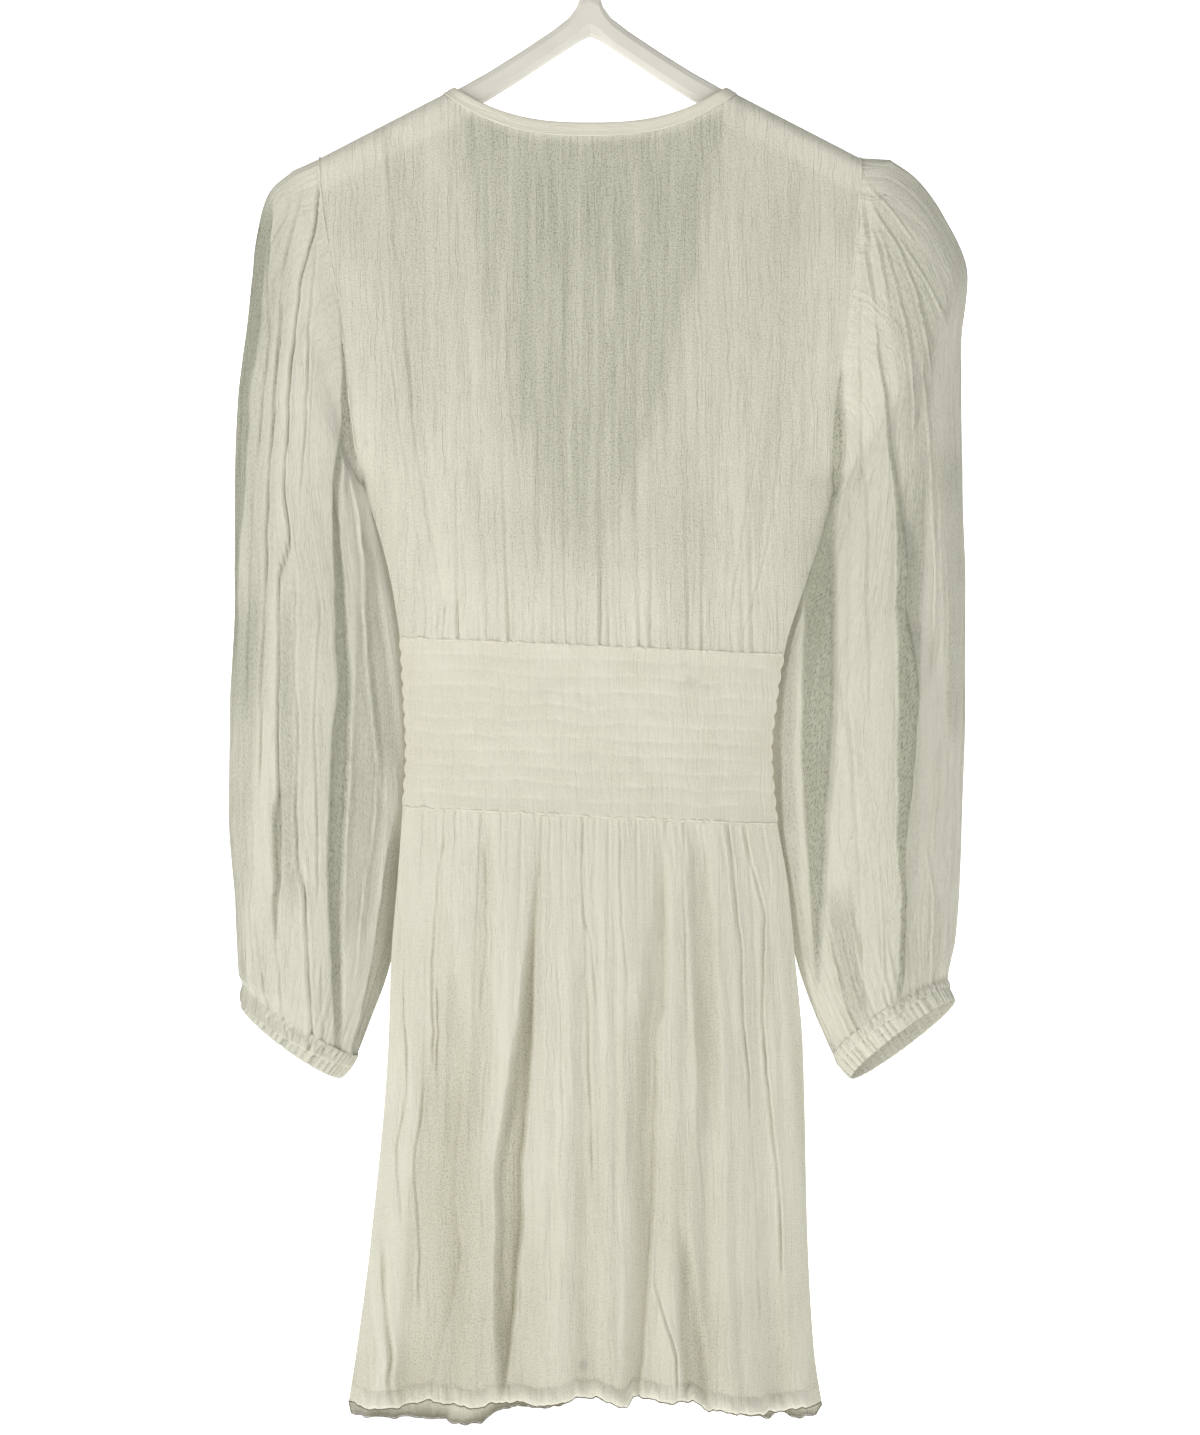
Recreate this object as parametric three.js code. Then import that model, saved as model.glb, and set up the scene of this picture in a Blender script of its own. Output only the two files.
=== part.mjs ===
// A long-sleeved mini dress of crinkled cotton gauze, hanging on a clothes hanger, in millimetres.
// Frame: the origin is where a rail bears inside the hanger's hook, +Z is up, -Y is the dress's
// front, +Y its back and +X the wearer's left. A drop is a distance below the neck points, and a
// share across the body runs from 1 at the left side seam to -1 at the right one.
import * as THREE from "three";

// Driving sizes
const NECK_BELOW_RAIL = 127;
const CLOTH = 1.2;
const SEAM_GAP = 0.3;
const SLEEVE_GAP = 0.5;
const NECK_X = 87;
const SHOULDER_X = 174;
const SHOULDER_DROP = 45;
const UNDERARM_DROP = 254;
const RIDGE_RADIUS = 9;
const RIDGE_HALF = 0.75;
const WAIST_TOP = 359;
const WAIST_BOTTOM = 468;
const WAIST_TILT = 5.5;
const BACK_NECK_DROP = 23;
const NECK_CURVE = 2.6;
const V_DROP = 340;
const V_CURVE = 1.7;
const BINDING_WIDTH = 9;
const BINDING = 1.8;
const SECTION_CURVE = 2.4;
const BAND = 2;
const SMOCK_ROWS = 11;
const SMOCK_RISE = 1.3;
const HEM_FOLD = 9;
const HEM_RISE = 0.7;
const CUFF_RIBS = 22;
const CUFF_RISE = 0.9;

// Half widths to the left and right of the hanger's middle, and half depths to back and front.
const BODY = [
  { drop: 0, left: 174, right: 174, back: 9, front: 9 },
  { drop: 45, left: 174, right: 174, back: 12, front: 12 },
  { drop: 150, left: 160, right: 167, back: 19, front: 18 },
  { drop: 254, left: 147, right: 158, back: 23, front: 22 },
  { drop: 280, left: 138, right: 152, back: 23, front: 22 },
  { drop: 305, left: 131, right: 144, back: 22, front: 21 },
  { drop: 330, left: 126, right: 135, back: 19, front: 19 },
  { drop: 359, left: 122, right: 126, back: 16, front: 16 },
  { drop: 395, left: 120, right: 120, back: 15, front: 15 },
  { drop: 425, left: 118.5, right: 117, back: 15, front: 15 },
  { drop: 468, left: 121, right: 120, back: 17, front: 17 },
  { drop: 510, left: 124, right: 127, back: 22, front: 22 },
  { drop: 560, left: 128, right: 132, back: 27, front: 26 },
  { drop: 618, left: 130, right: 137, back: 31, front: 30 },
  { drop: 740, left: 141, right: 140, back: 35, front: 34 },
  { drop: 810, left: 150, right: 144, back: 38, front: 37 },
  { drop: 862, left: 158, right: 152, back: 40, front: 39 },
];

// Half depth at the sides: open at the armholes, closed along the side seams.
const SIDES = [
  { drop: 0, half: 8.5 },
  { drop: 60, half: 9 },
  { drop: 110, half: 13.5 },
  { drop: 155, half: 15 },
  { drop: 200, half: 13 },
  { drop: 236, half: 7 },
  { drop: 254, half: 0.8 },
  { drop: 340, half: 0.8 },
  { drop: 359, half: 1.3 },
  { drop: 468, half: 1.3 },
  { drop: 490, half: 0.8 },
  { drop: 870, half: 0.8 },
];

// Drop of the back and front hem at a share across the body.
const HEM = [
  { share: -1, back: 842, front: 845 },
  { share: -0.8, back: 848, front: 857 },
  { share: -0.6, back: 846, front: 848 },
  { share: -0.3, back: 838, front: 838 },
  { share: 0, back: 841, front: 838 },
  { share: 0.2, back: 839, front: 852 },
  { share: 0.43, back: 840, front: 862 },
  { share: 0.6, back: 842, front: 858 },
  { share: 0.85, back: 844, front: 855 },
  { share: 1, back: 838, front: 845 },
];

// The skirt's main troughs: share at the waist and hem, half width as a share, and depth at the hem.
const BACK_TROUGHS = [
  { waist: 0.79, hem: 0.78, width: 0.07, depth: 6 },
  { waist: 0.57, hem: 0.55, width: 0.08, depth: 8 },
  { waist: 0.25, hem: 0.33, width: 0.1, depth: 15 },
  { waist: 0.04, hem: 0.0, width: 0.07, depth: 6 },
  { waist: -0.39, hem: -0.26, width: 0.09, depth: 13 },
  { waist: -0.56, hem: -0.52, width: 0.06, depth: 5 },
  { waist: -0.77, hem: -0.82, width: 0.07, depth: 7 },
];
const FRONT_TROUGHS = [
  { waist: 0.8, hem: 0.82, width: 0.07, depth: 7 },
  { waist: 0.5, hem: 0.58, width: 0.09, depth: 12 },
  { waist: 0.22, hem: 0.24, width: 0.07, depth: 7 },
  { waist: -0.08, hem: -0.06, width: 0.1, depth: 14 },
  { waist: -0.35, hem: -0.4, width: 0.07, depth: 7 },
  { waist: -0.62, hem: -0.66, width: 0.09, depth: 11 },
  { waist: -0.84, hem: -0.88, width: 0.06, depth: 5 },
];

// Sleeve sections from the armhole to the cuff's seam: the edge towards the body and the outer
// edge, half depth, how much lower the front lies, and fold height. Y is how far back an edge is.
const LEFT_SLEEVE = [
  { inX: 149.5, inDrop: 255.5, outX: 191, outDrop: 53, depth: 19, inY: -0.5, outY: 0, dip: 0, fold: 1.2 },
  { inX: 149.3, inDrop: 258, outX: 207, outDrop: 68, depth: 22, inY: -2, outY: -1, dip: 0, fold: 1.8 },
  { inX: 148, inDrop: 262, outX: 215, outDrop: 97, depth: 24, inY: -4, outY: -1.5, dip: 0, fold: 2.2 },
  { inX: 144, inDrop: 268, outX: 220.5, outDrop: 150, depth: 25, inY: -7, outY: -2, dip: 0, fold: 2.6 },
  { inX: 137.5, inDrop: 281, outX: 227, outDrop: 205, depth: 25, inY: -10, outY: -3, dip: 0, fold: 2.8 },
  { inX: 130, inDrop: 298, outX: 229, outDrop: 262, depth: 25, inY: -12, outY: -4, dip: 0, fold: 3 },
  { inX: 121, inDrop: 335, outX: 229, outDrop: 328, depth: 25, inY: -13, outY: -5, dip: 0, fold: 3 },
  { inX: 115, inDrop: 395, outX: 232, outDrop: 395, depth: 25, inY: -14, outY: -6, dip: 0, fold: 3 },
  { inX: 116, inDrop: 468, outX: 233, outDrop: 464, depth: 25, inY: -14, outY: -6, dip: 0, fold: 3 },
  { inX: 122, inDrop: 530, outX: 229, outDrop: 524, depth: 24, inY: -13, outY: -6, dip: 1, fold: 3 },
  { inX: 130, inDrop: 568, outX: 228, outDrop: 552, depth: 22, inY: -11, outY: -6, dip: -2, fold: 2.6 },
  { inX: 141, inDrop: 599, outX: 226.5, outDrop: 571, depth: 19, inY: -9, outY: -6, dip: -4, fold: 2 },
  { inX: 150, inDrop: 622, outX: 216, outDrop: 577, depth: 16, inY: -8, outY: -8, dip: -6, fold: 0 },
];
const RIGHT_SLEEVE = [
  { inX: 160.5, inDrop: 255.5, outX: 193, outDrop: 46, depth: 19, inY: -0.5, outY: 0, dip: 0, fold: 1.2 },
  { inX: 160.3, inDrop: 258, outX: 210, outDrop: 58, depth: 22, inY: -2, outY: -1, dip: 0, fold: 1.8 },
  { inX: 159, inDrop: 262, outX: 228, outDrop: 82, depth: 25, inY: -4, outY: -1.5, dip: 0, fold: 2.2 },
  { inX: 155.5, inDrop: 268, outX: 243, outDrop: 122, depth: 26, inY: -7, outY: -2, dip: 0, fold: 2.6 },
  { inX: 152, inDrop: 281, outX: 239, outDrop: 172, depth: 25, inY: -10, outY: -3, dip: 0, fold: 2.8 },
  { inX: 145, inDrop: 298, outX: 240, outDrop: 250, depth: 25, inY: -12, outY: -4, dip: 0, fold: 3 },
  { inX: 130, inDrop: 335, outX: 242, outDrop: 328, depth: 25, inY: -13, outY: -5, dip: 0, fold: 3 },
  { inX: 114, inDrop: 395, outX: 242, outDrop: 395, depth: 25, inY: -14, outY: -6, dip: 0, fold: 3 },
  { inX: 115, inDrop: 464, outX: 240, outDrop: 464, depth: 25, inY: -14, outY: -6, dip: 0, fold: 3 },
  { inX: 124.5, inDrop: 520, outX: 238, outDrop: 520, depth: 24, inY: -13, outY: -6, dip: 1, fold: 3 },
  { inX: 133, inDrop: 562, outX: 235.5, outDrop: 550, depth: 22, inY: -11, outY: -6, dip: 3, fold: 2.6 },
  { inX: 145, inDrop: 596, outX: 233, outDrop: 561, depth: 20, inY: -9, outY: -6, dip: 6, fold: 2 },
  { inX: 157.5, inDrop: 622.5, outX: 226, outDrop: 574, depth: 17, inY: -8, outY: -8, dip: 8, fold: 0 },
];

const CUFF_WIDTH = 17;
const SLEEVE_FOLDS = 10;
const LENS = 0.4;
const BODICE_GATHERS = 12;
const SKIRT_GATHERS = 16;

// Materials
const gauze = (name, colour) =>
  new THREE.MeshStandardMaterial({ name, color: colour, roughness: 0.95, metalness: 0 });
const CLOTH_PAINT = gauze("gauze", 0xd9d6c4);
const BAND_PAINT = gauze("gauze_band", 0xdedbc9);
const HANGER_PAINT = new THREE.MeshStandardMaterial({
  name: "hanger",
  color: 0xd3cfc2,
  roughness: 0.45,
  metalness: 0,
});
const HOOK_PAINT = new THREE.MeshStandardMaterial({
  name: "hook",
  color: 0xb9bcc0,
  roughness: 0.3,
  metalness: 1,
});

// Interpolation

const mix = (a, b, t) => a + (b - a) * t;
const clamp = (x, low, high) => Math.min(high, Math.max(low, x));
const steps = (count) => Array.from({ length: count + 1 }, (_, i) => i / count);

// A column of a table at a place between its rows, on a smooth curve that doesn't overshoot.
function along(rows, key, column, at) {
  const last = rows.length - 1;
  const place = clamp(at, rows[0][key], rows[last][key]);
  const i = Math.max(0, rows.findIndex((row) => row[key] >= place) - 1);
  const slope = (k) =>
    k < 0 || k >= last ? null : (rows[k + 1][column] - rows[k][column]) / (rows[k + 1][key] - rows[k][key]);
  const tangent = (before, after) => {
    if (before === null) return after;
    if (after === null) return before;
    return before * after <= 0 ? 0 : (2 * before * after) / (before + after);
  };
  const span = rows[i + 1][key] - rows[i][key];
  const t = (place - rows[i][key]) / span;
  const m0 = tangent(slope(i - 1), slope(i)) * span;
  const m1 = tangent(slope(i), slope(i + 1)) * span;
  const [p0, p1] = [rows[i][column], rows[i + 1][column]];
  return (
    p0 * (1 + 2 * t) * (1 - t) ** 2 + m0 * t * (1 - t) ** 2 + p1 * t * t * (3 - 2 * t) + m1 * t * t * (t - 1)
  );
}

// Form of the body

const heightOf = (drop) => -(NECK_BELOW_RAIL + drop);
const ridgeDrop = (x) => ((Math.abs(x) - NECK_X) * SHOULDER_DROP) / (SHOULDER_X - NECK_X);
const halfWidth = (drop, share) => along(BODY, "drop", share >= 0 ? "left" : "right", drop);
const waistTop = (share) => WAIST_TOP - WAIST_TILT * share;
const waistBottom = (share) => WAIST_BOTTOM - WAIST_TILT * share;

// A point of the cloth's middle surface: side is 1 on the back and -1 on the front.
function bodyPoint(side, x, drop, bump = 0) {
  const share = x / halfWidth(drop, x);
  const depth = along(BODY, "drop", side > 0 ? "back" : "front", drop);
  const edge = along(SIDES, "drop", "half", drop);
  const inset = 1 - Math.min(1, Math.abs(share)) ** SECTION_CURVE;
  const full = edge + (depth - edge) * inset + bump * Math.min(1, inset * 4);
  const below = clamp((drop - ridgeDrop(x)) / RIDGE_RADIUS, 0, 1);
  const round = Math.sqrt(1 - (1 - below) ** 2);
  return new THREE.Vector3(x, side * mix(RIDGE_HALF, full, round), heightOf(drop));
}

// Gathers that fade away from a seam, uneven in height and reach.
function gathers(share, distance, count, height, reach) {
  const wave = Math.cos(Math.PI * count * (share + 0.012 * Math.sin(9 * share + 1)));
  const uneven = 0.75 + 0.25 * Math.sin(17 * share + 2);
  const length = reach * (1 + 0.45 * Math.sin(11 * share));
  return wave * height * uneven * Math.exp(-distance / length);
}

function bodicePoint(side, x, drop) {
  const share = x / halfWidth(drop, x);
  const bump = gathers(share, waistTop(share) - drop, BODICE_GATHERS, 1.7, 75);
  return bodyPoint(side, x, drop, bump);
}

// The skirt's surface at a share across and from waist to hem.
function skirtPoint(side, share, fall) {
  const column = side > 0 ? "back" : "front";
  const top = waistBottom(share) + SEAM_GAP;
  const drop = mix(top, along(HEM, "share", column, share), fall);
  let bump = gathers(share, 0, SKIRT_GATHERS, mix(1.8, 1.1, fall), 1);
  for (const trough of side > 0 ? BACK_TROUGHS : FRONT_TROUGHS) {
    const away = (share - mix(trough.waist, trough.hem, fall)) / trough.width;
    bump -= trough.depth * Math.min(1, 0.12 + fall) * Math.exp(-away * away);
  }
  return bodyPoint(side, share * halfWidth(drop, share), drop, bump);
}

// Walls

// Unit normals of a grid of points, whose columns wrap round in a tube with square ends.
function normalsOf(grid, tube) {
  const rows = grid.length;
  const columns = grid[0].length;
  return grid.map((row, i) => {
    const end = tube && (i === 0 || i === rows - 1);
    return row.map((_, j) => {
      const before = tube ? (j + columns - 1) % columns : Math.max(0, j - 1);
      const after = tube ? (j + 1) % columns : Math.min(columns - 1, j + 1);
      const across = row[after].clone().sub(row[before]);
      const down = grid[Math.min(rows - 1, i + 1)][j].clone().sub(grid[Math.max(0, i - 1)][j]);
      if (end) {
        const axis = axisOf(row);
        down.copy(down.dot(axis) < 0 ? axis.negate() : axis);
      }
      return across.cross(down).normalize();
    });
  });
}

const centreOf = (ring) => ring.reduce((sum, p) => sum.add(p), new THREE.Vector3()).divideScalar(ring.length);

// The direction square to a ring of points.
function axisOf(ring) {
  const centre = centreOf(ring);
  const spokes = ring.map((p) => p.clone().sub(centre));
  const turned = spokes.map((p, i) => p.clone().cross(spokes[(i + 1) % spokes.length]));
  return turned.reduce((sum, p) => sum.add(p), new THREE.Vector3()).normalize();
}

// Triangles between two lists of vertices that may differ in length.
function bridge(faces, a, b, turned) {
  let [i, j] = [0, 0];
  while (i < a.length - 1 || j < b.length - 1) {
    const stepA = j === b.length - 1 || (i < a.length - 1 && (i + 1) / (a.length - 1) <= (j + 1) / (b.length - 1));
    const face = stepA ? [a[i + 1], a[i], b[j]] : [a[i], b[j], b[j + 1]];
    faces.push(turned ? face.reverse() : face);
    if (stepA) i += 1;
    else j += 1;
  }
}

// A closed wall between an outer and an inner grid, which have the same number of columns.
function wallBetween(outer, inner, tube) {
  const points = [...outer.flat(), ...inner.flat()];
  const columns = outer[0].length;
  const indexOuter = outer.map((row, i) => row.map((_, j) => i * columns + j));
  const indexInner = inner.map((row, i) => row.map((_, j) => (outer.length + i) * columns + j));
  const faces = [];
  const sheet = (index, turned) => {
    for (let i = 0; i < index.length - 1; i += 1) {
      for (let j = 0; j < (tube ? columns : columns - 1); j += 1) {
        const k = (j + 1) % columns;
        const pair = [
          [index[i][j], index[i + 1][j], index[i + 1][k]],
          [index[i][j], index[i + 1][k], index[i][k]],
        ];
        faces.push(...pair.map((face) => (turned ? face.reverse() : face)));
      }
    }
  };
  sheet(indexOuter, false);
  sheet(indexInner, true);
  const around = (row) => (tube ? [...row, row[0]] : row);
  bridge(faces, around(indexOuter[0]), around(indexInner[0]), true);
  bridge(faces, around(indexOuter.at(-1)), around(indexInner.at(-1)), false);
  if (!tube) {
    const edge = (index, j) => index.map((row) => row[j]);
    bridge(faces, edge(indexOuter, 0), edge(indexInner, 0), false);
    bridge(faces, edge(indexOuter, columns - 1), edge(indexInner, columns - 1), true);
  }
  return solidFrom(points, faces);
}

// An indexed geometry whose faces point out.
function solidFrom(points, faces) {
  const volume = faces.reduce(
    (sum, [a, b, c]) => sum + points[a].dot(new THREE.Vector3().crossVectors(points[b], points[c])),
    0
  );
  const index = faces.flatMap((face) => (volume < 0 ? [...face].reverse() : face));
  const geometry = new THREE.BufferGeometry().setFromPoints(points);
  geometry.setIndex(index);
  geometry.computeVertexNormals();
  return geometry;
}

// A wall of even thickness round a middle surface, with an outer face raised by rise(i, j).
function wallOf(grid, { thickness = CLOTH, tube = false, outward, rise = () => 0, innerRows } = {}) {
  const normals = normalsOf(grid, tube);
  const [i0, j0] = [Math.floor(grid.length / 2), Math.floor(grid[0].length / 2)];
  const sign = normals[i0][j0].dot(outward(grid[i0][j0])) < 0 ? -1 : 1;
  const offset = (i, j, by) => grid[i][j].clone().addScaledVector(normals[i][j], sign * by);
  const outer = grid.map((row, i) => row.map((_, j) => offset(i, j, thickness / 2 + rise(i, j))));
  const kept = innerRows ?? grid.map((_, i) => i);
  const inner = kept.map((i) => grid[i].map((_, j) => offset(i, j, -thickness / 2)));
  return wallBetween(outer, inner, tube);
}

const facing = (side) => () => new THREE.Vector3(0, side, 0);

// Bodice

const PANEL_ROWS = [0, 0.004, 0.014, 0.032, 0.09, 0.2, 0.36, 0.52, 0.66, 0.78, 0.88, 0.95, 1];
const PANEL_NECK_X = NECK_X + BINDING_WIDTH * 0.9;

// Columns of the back panel as distances from its middle, closer together at the neck's corners.
const NECK_COLUMNS = [0, 9.5, 19, 28.5, 38, 47.5, 57, 66, 75, 82.5, 88.5, 92.2, 94.2, PANEL_NECK_X];
const SHOULDER_COLUMNS = steps(8).map((t) => mix(PANEL_NECK_X, SHOULDER_X, t));

// The line where a panel meets the neck binding at the back.
function backNeckDrop(x, widening) {
  const end = ridgeDrop(PANEL_NECK_X);
  const low = BACK_NECK_DROP + BINDING_WIDTH + widening;
  return end + (low - end) * (1 - (Math.abs(x) / PANEL_NECK_X) ** NECK_CURVE);
}

// Half the distance between the two fronts, where they meet the binding.
const frontNeckX = (drop, gap) => PANEL_NECK_X * (1 - (drop / WAIST_TOP) ** V_CURVE) + gap;

// The drop of a front panel's neck edge at a row.
const frontNeckDrop = (v) => mix(ridgeDrop(PANEL_NECK_X), WAIST_TOP - SEAM_GAP, v);

function backBodice() {
  const half = [...NECK_COLUMNS, ...SHOULDER_COLUMNS.slice(1)];
  const columns = [...half.map((x) => -x).reverse(), ...half.slice(1)];
  const grid = PANEL_ROWS.map((v) =>
    columns.map((x) => {
      const share = x / SHOULDER_X;
      const top = Math.abs(x) > PANEL_NECK_X ? ridgeDrop(x) : backNeckDrop(x, SEAM_GAP);
      const drop = mix(top, waistTop(share) - SEAM_GAP, v);
      return bodicePoint(1, share * halfWidth(drop, share), drop);
    })
  );
  return wallOf(grid, { outward: facing(1) });
}

// One front: hand is 1 for the wearer's left and -1 for the right.
function frontBodice(hand) {
  const columns = 18;
  const grid = PANEL_ROWS.map((v) =>
    steps(columns).map((u) => {
      const shoulderX = mix(PANEL_NECK_X, SHOULDER_X, u);
      const top = ridgeDrop(shoulderX);
      const drop = mix(top, waistTop(hand * u) - SEAM_GAP, v);
      const straight = (d) => mix(frontNeckX(d, SEAM_GAP), halfWidth(d, hand), u);
      const x = straight(drop) + (shoulderX - straight(top)) * (1 - v) ** 3;
      return bodicePoint(-1, hand * x, drop);
    })
  );
  return wallOf(grid, { outward: facing(-1) });
}

// One strip bound round the neck: from the V's point over a shoulder, round the back and down again.
function neckBinding() {
  const inset = 1 - (SEAM_GAP * 2) / PANEL_NECK_X;
  const back = (x) => {
    const outer = (x * NECK_X) / PANEL_NECK_X;
    const drop = BACK_NECK_DROP * (1 - Math.abs(outer / NECK_X) ** NECK_CURVE);
    return [bodyPoint(1, outer, drop), bodyPoint(1, x * inset, backNeckDrop(x, 0))];
  };
  const front = (hand, v) => {
    const outer = NECK_X * (1 - v ** V_CURVE) + SEAM_GAP;
    const drop = frontNeckDrop(v);
    const inner = Math.max(SEAM_GAP, frontNeckX(drop, -SEAM_GAP));
    return [bodicePoint(-1, hand * outer, V_DROP * v), bodicePoint(-1, hand * inner, drop)];
  };
  const ridge = (hand) =>
    [NECK_X, PANEL_NECK_X * inset].map((x) => new THREE.Vector3(hand * x, 0, heightOf(ridgeDrop(x))));
  const across = NECK_COLUMNS.slice(0, -1);
  const grid = [
    ...PANEL_ROWS.slice(1).map((v) => front(1, v)).reverse(),
    ridge(1),
    ...across.map((x) => back(x)).reverse(),
    ...across.slice(1).map((x) => back(-x)),
    ridge(-1),
    ...PANEL_ROWS.slice(1).map((v) => front(-1, v)),
  ];
  return wallOf(grid, { thickness: BINDING, outward: (point) => new THREE.Vector3(0, point.y, 0) });
}

// Waistband, with smocked rows raised on a plain inside.
function waistband(side) {
  const columns = 16;
  const rows = steps(SMOCK_ROWS * 2);
  const grid = rows.map((v) =>
    steps(columns).map((u) => {
      const share = 1 - 2 * u;
      const drop = mix(waistTop(share), waistBottom(share), v);
      return bodyPoint(side, share * halfWidth(drop, share), drop, 0.4);
    })
  );
  const rise = (i, j) => (i % 2) * SMOCK_RISE * (0.8 + 0.2 * Math.sin(2.1 * j + i));
  const last = rows.length - 1;
  return wallOf(grid, { thickness: BAND, outward: facing(side), rise, innerRows: [0, last / 2, last] });
}

// Skirt panel, with its hem turned up to a double fold.
function skirt(side) {
  const columns = SKIRT_GATHERS * 4;
  const fold = HEM_FOLD / (along(HEM, "share", "back", 0) - WAIST_BOTTOM);
  const falls = [0, 0.05, 0.16, 0.32, 0.5, 0.68, 0.85, 1 - fold - 0.004, 1 - fold, 1];
  const grid = falls.map((fall) => steps(columns).map((u) => skirtPoint(side, 1 - 2 * u, fall)));
  const rise = (i) => (i >= falls.length - 2 ? HEM_RISE : 0);
  return wallOf(grid, { outward: facing(side), rise });
}

// Sleeves

// The ring where a sleeve meets the armhole, at an angle of 0 at the shoulder and 180 underneath.
function armholePoint(hand, angle) {
  const middle = (SHOULDER_DROP + UNDERARM_DROP) / 2;
  const reach = (UNDERARM_DROP - SHOULDER_DROP) / 2;
  const drop = middle - reach * Math.cos(angle);
  const side = Math.sin(angle);
  const edge = bodyPoint(Math.sign(side), hand * halfWidth(drop, hand), drop);
  edge.x += hand * SLEEVE_GAP;
  edge.y *= Math.min(1, Math.abs(side) * 20);
  return edge;
}

// A point of a sleeve's section at an angle of 0 at its outer edge and 180 towards the body.
function sleevePoint(hand, row, angle, folds) {
  const inner = new THREE.Vector3(hand * row.inX, row.inY, heightOf(row.inDrop));
  const outer = new THREE.Vector3(hand * row.outX, row.outY, heightOf(row.outDrop));
  const arm = outer.clone().sub(inner).divideScalar(2);
  const reach = arm.length();
  const [c, s] = [Math.cos(angle), Math.sin(angle)];
  const full = s * Math.abs(s) ** LENS;
  const uneven = 0.75 + 0.25 * Math.sin(3 * angle + 1);
  const wave = row.fold * uneven * Math.cos(folds * angle + 0.5 * Math.sin(2 * angle)) * Math.abs(s) ** 0.7;
  const normal = arm.clone().multiplyScalar(c / (reach * reach));
  normal.y += s / row.depth;
  normal.normalize();
  const point = inner.add(arm).addScaledVector(arm, c);
  point.y += full * row.depth;
  point.z += s * row.dip;
  return point.addScaledVector(normal, wave);
}

const angles = (count) => Array.from({ length: count }, (_, i) => (2 * Math.PI * i) / count);

function sleeve(hand, rows) {
  const round = angles(SLEEVE_FOLDS * 4);
  const grid = [
    round.map((angle) => armholePoint(hand, angle)),
    ...rows.map((row) => round.map((angle) => sleevePoint(hand, row, angle, SLEEVE_FOLDS))),
  ];
  return wallOf(grid, { tube: true, outward: awayFrom(grid) });
}

// The direction from the middle of a tube's middle ring to a point on it.
function awayFrom(grid) {
  const middle = centreOf(grid[Math.floor(grid.length / 2)]);
  return (point) => point.clone().sub(middle);
}

// Elastic cuff, ribbed by its gathers, square to the sleeve's last section.
function cuff(hand, rows) {
  const last = rows.at(-1);
  const [dx, dd] = [last.outX - last.inX, last.outDrop - last.inDrop];
  const length = Math.hypot(dx, dd);
  const round = angles(CUFF_RIBS * 2);
  const grid = steps(2).map((v) => {
    const away = SEAM_GAP * 3 + v * CUFF_WIDTH;
    const [sx, sd] = [(-dd / length) * away, (dx / length) * away];
    const grow = 1.5 * Math.sin(Math.PI * v);
    const row = {
      ...last,
      inX: last.inX + sx - grow,
      outX: last.outX + sx + grow,
      inDrop: last.inDrop + sd,
      outDrop: last.outDrop + sd,
    };
    return round.map((angle) => sleevePoint(hand, row, angle, SLEEVE_FOLDS));
  });
  const rise = (i, j) => (j % 2) * CUFF_RISE;
  return wallOf(grid, { thickness: BAND - 0.4, tube: true, outward: awayFrom(grid), rise, innerRows: [0, 2] });
}

// Hanger

const HANGER_SEAT = BINDING / 2 + SEAM_GAP * 3;
const BOSS_LIFT = 20;
const HOOK_WIRE = 3.6;
const HOOK_RADIUS = 20;

// Sections along one arm: how far its top lies above the shoulder line, its height and half thickness.
const ARM = [
  { x: 0, lift: BOSS_LIFT, tall: 30, half: 5.5 },
  { x: 6, lift: BOSS_LIFT - 0.6, tall: 29, half: 5.5 },
  { x: 9, lift: 13, tall: 23, half: 5.5 },
  { x: 14, lift: 8.8, tall: 19.5, half: 5.5 },
  { x: 25, lift: 6, tall: 18, half: 5.5 },
  { x: 44, lift: 3.2, tall: 18, half: 5.5 },
  { x: 66, lift: 0.8, tall: 18, half: 5.5 },
  { x: 87, lift: 0, tall: 17, half: 5.5 },
  { x: 125, lift: 0, tall: 16, half: 5.5 },
  { x: 154, lift: 0, tall: 15, half: 5.5 },
  { x: 161, lift: -1, tall: 13, half: 4.8 },
  { x: 166, lift: -4, tall: 7.5, half: 3 },
];

// The two arms and the boss in one body with rounded edges.
function hangerBody() {
  const rounding = [
    { width: 0.3, below: 0 },
    { width: 0.75, below: 0.08 },
    { width: 1, below: 0.26 },
  ];
  const edge = [...rounding, ...rounding.map(({ width, below }) => ({ width, below: 1 - below })).reverse()];
  const section = (hand, row) => {
    const top = heightOf(ridgeDrop(row.x)) + row.lift - HANGER_SEAT;
    const point = (side, { width, below }) =>
      new THREE.Vector3(hand * row.x, side * row.half * width, top - below * row.tall);
    return [...edge.map((k) => point(1, k)), ...edge.map((k) => point(-1, k)).reverse()];
  };
  const rings = [
    ...ARM.map((row) => section(-1, row)).reverse(),
    ...ARM.slice(1).map((row) => section(1, row)),
  ];
  return loft(rings);
}

// A solid through rings that have the same number of points, closed by flat ends.
function loft(rings) {
  const count = rings[0].length;
  const faces = [];
  for (let i = 0; i < rings.length - 1; i += 1) {
    for (let j = 0; j < count; j += 1) {
      const k = (j + 1) % count;
      const [a, b] = [i * count, (i + 1) * count];
      faces.push([a + j, a + k, b + k], [a + j, b + k, b + j]);
    }
  }
  const end = (rings.length - 1) * count;
  for (let j = 1; j < count - 1; j += 1) {
    faces.push([0, j + 1, j], [end, end + j, end + j + 1]);
  }
  return solidFrom(rings.flat(), faces);
}

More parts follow.
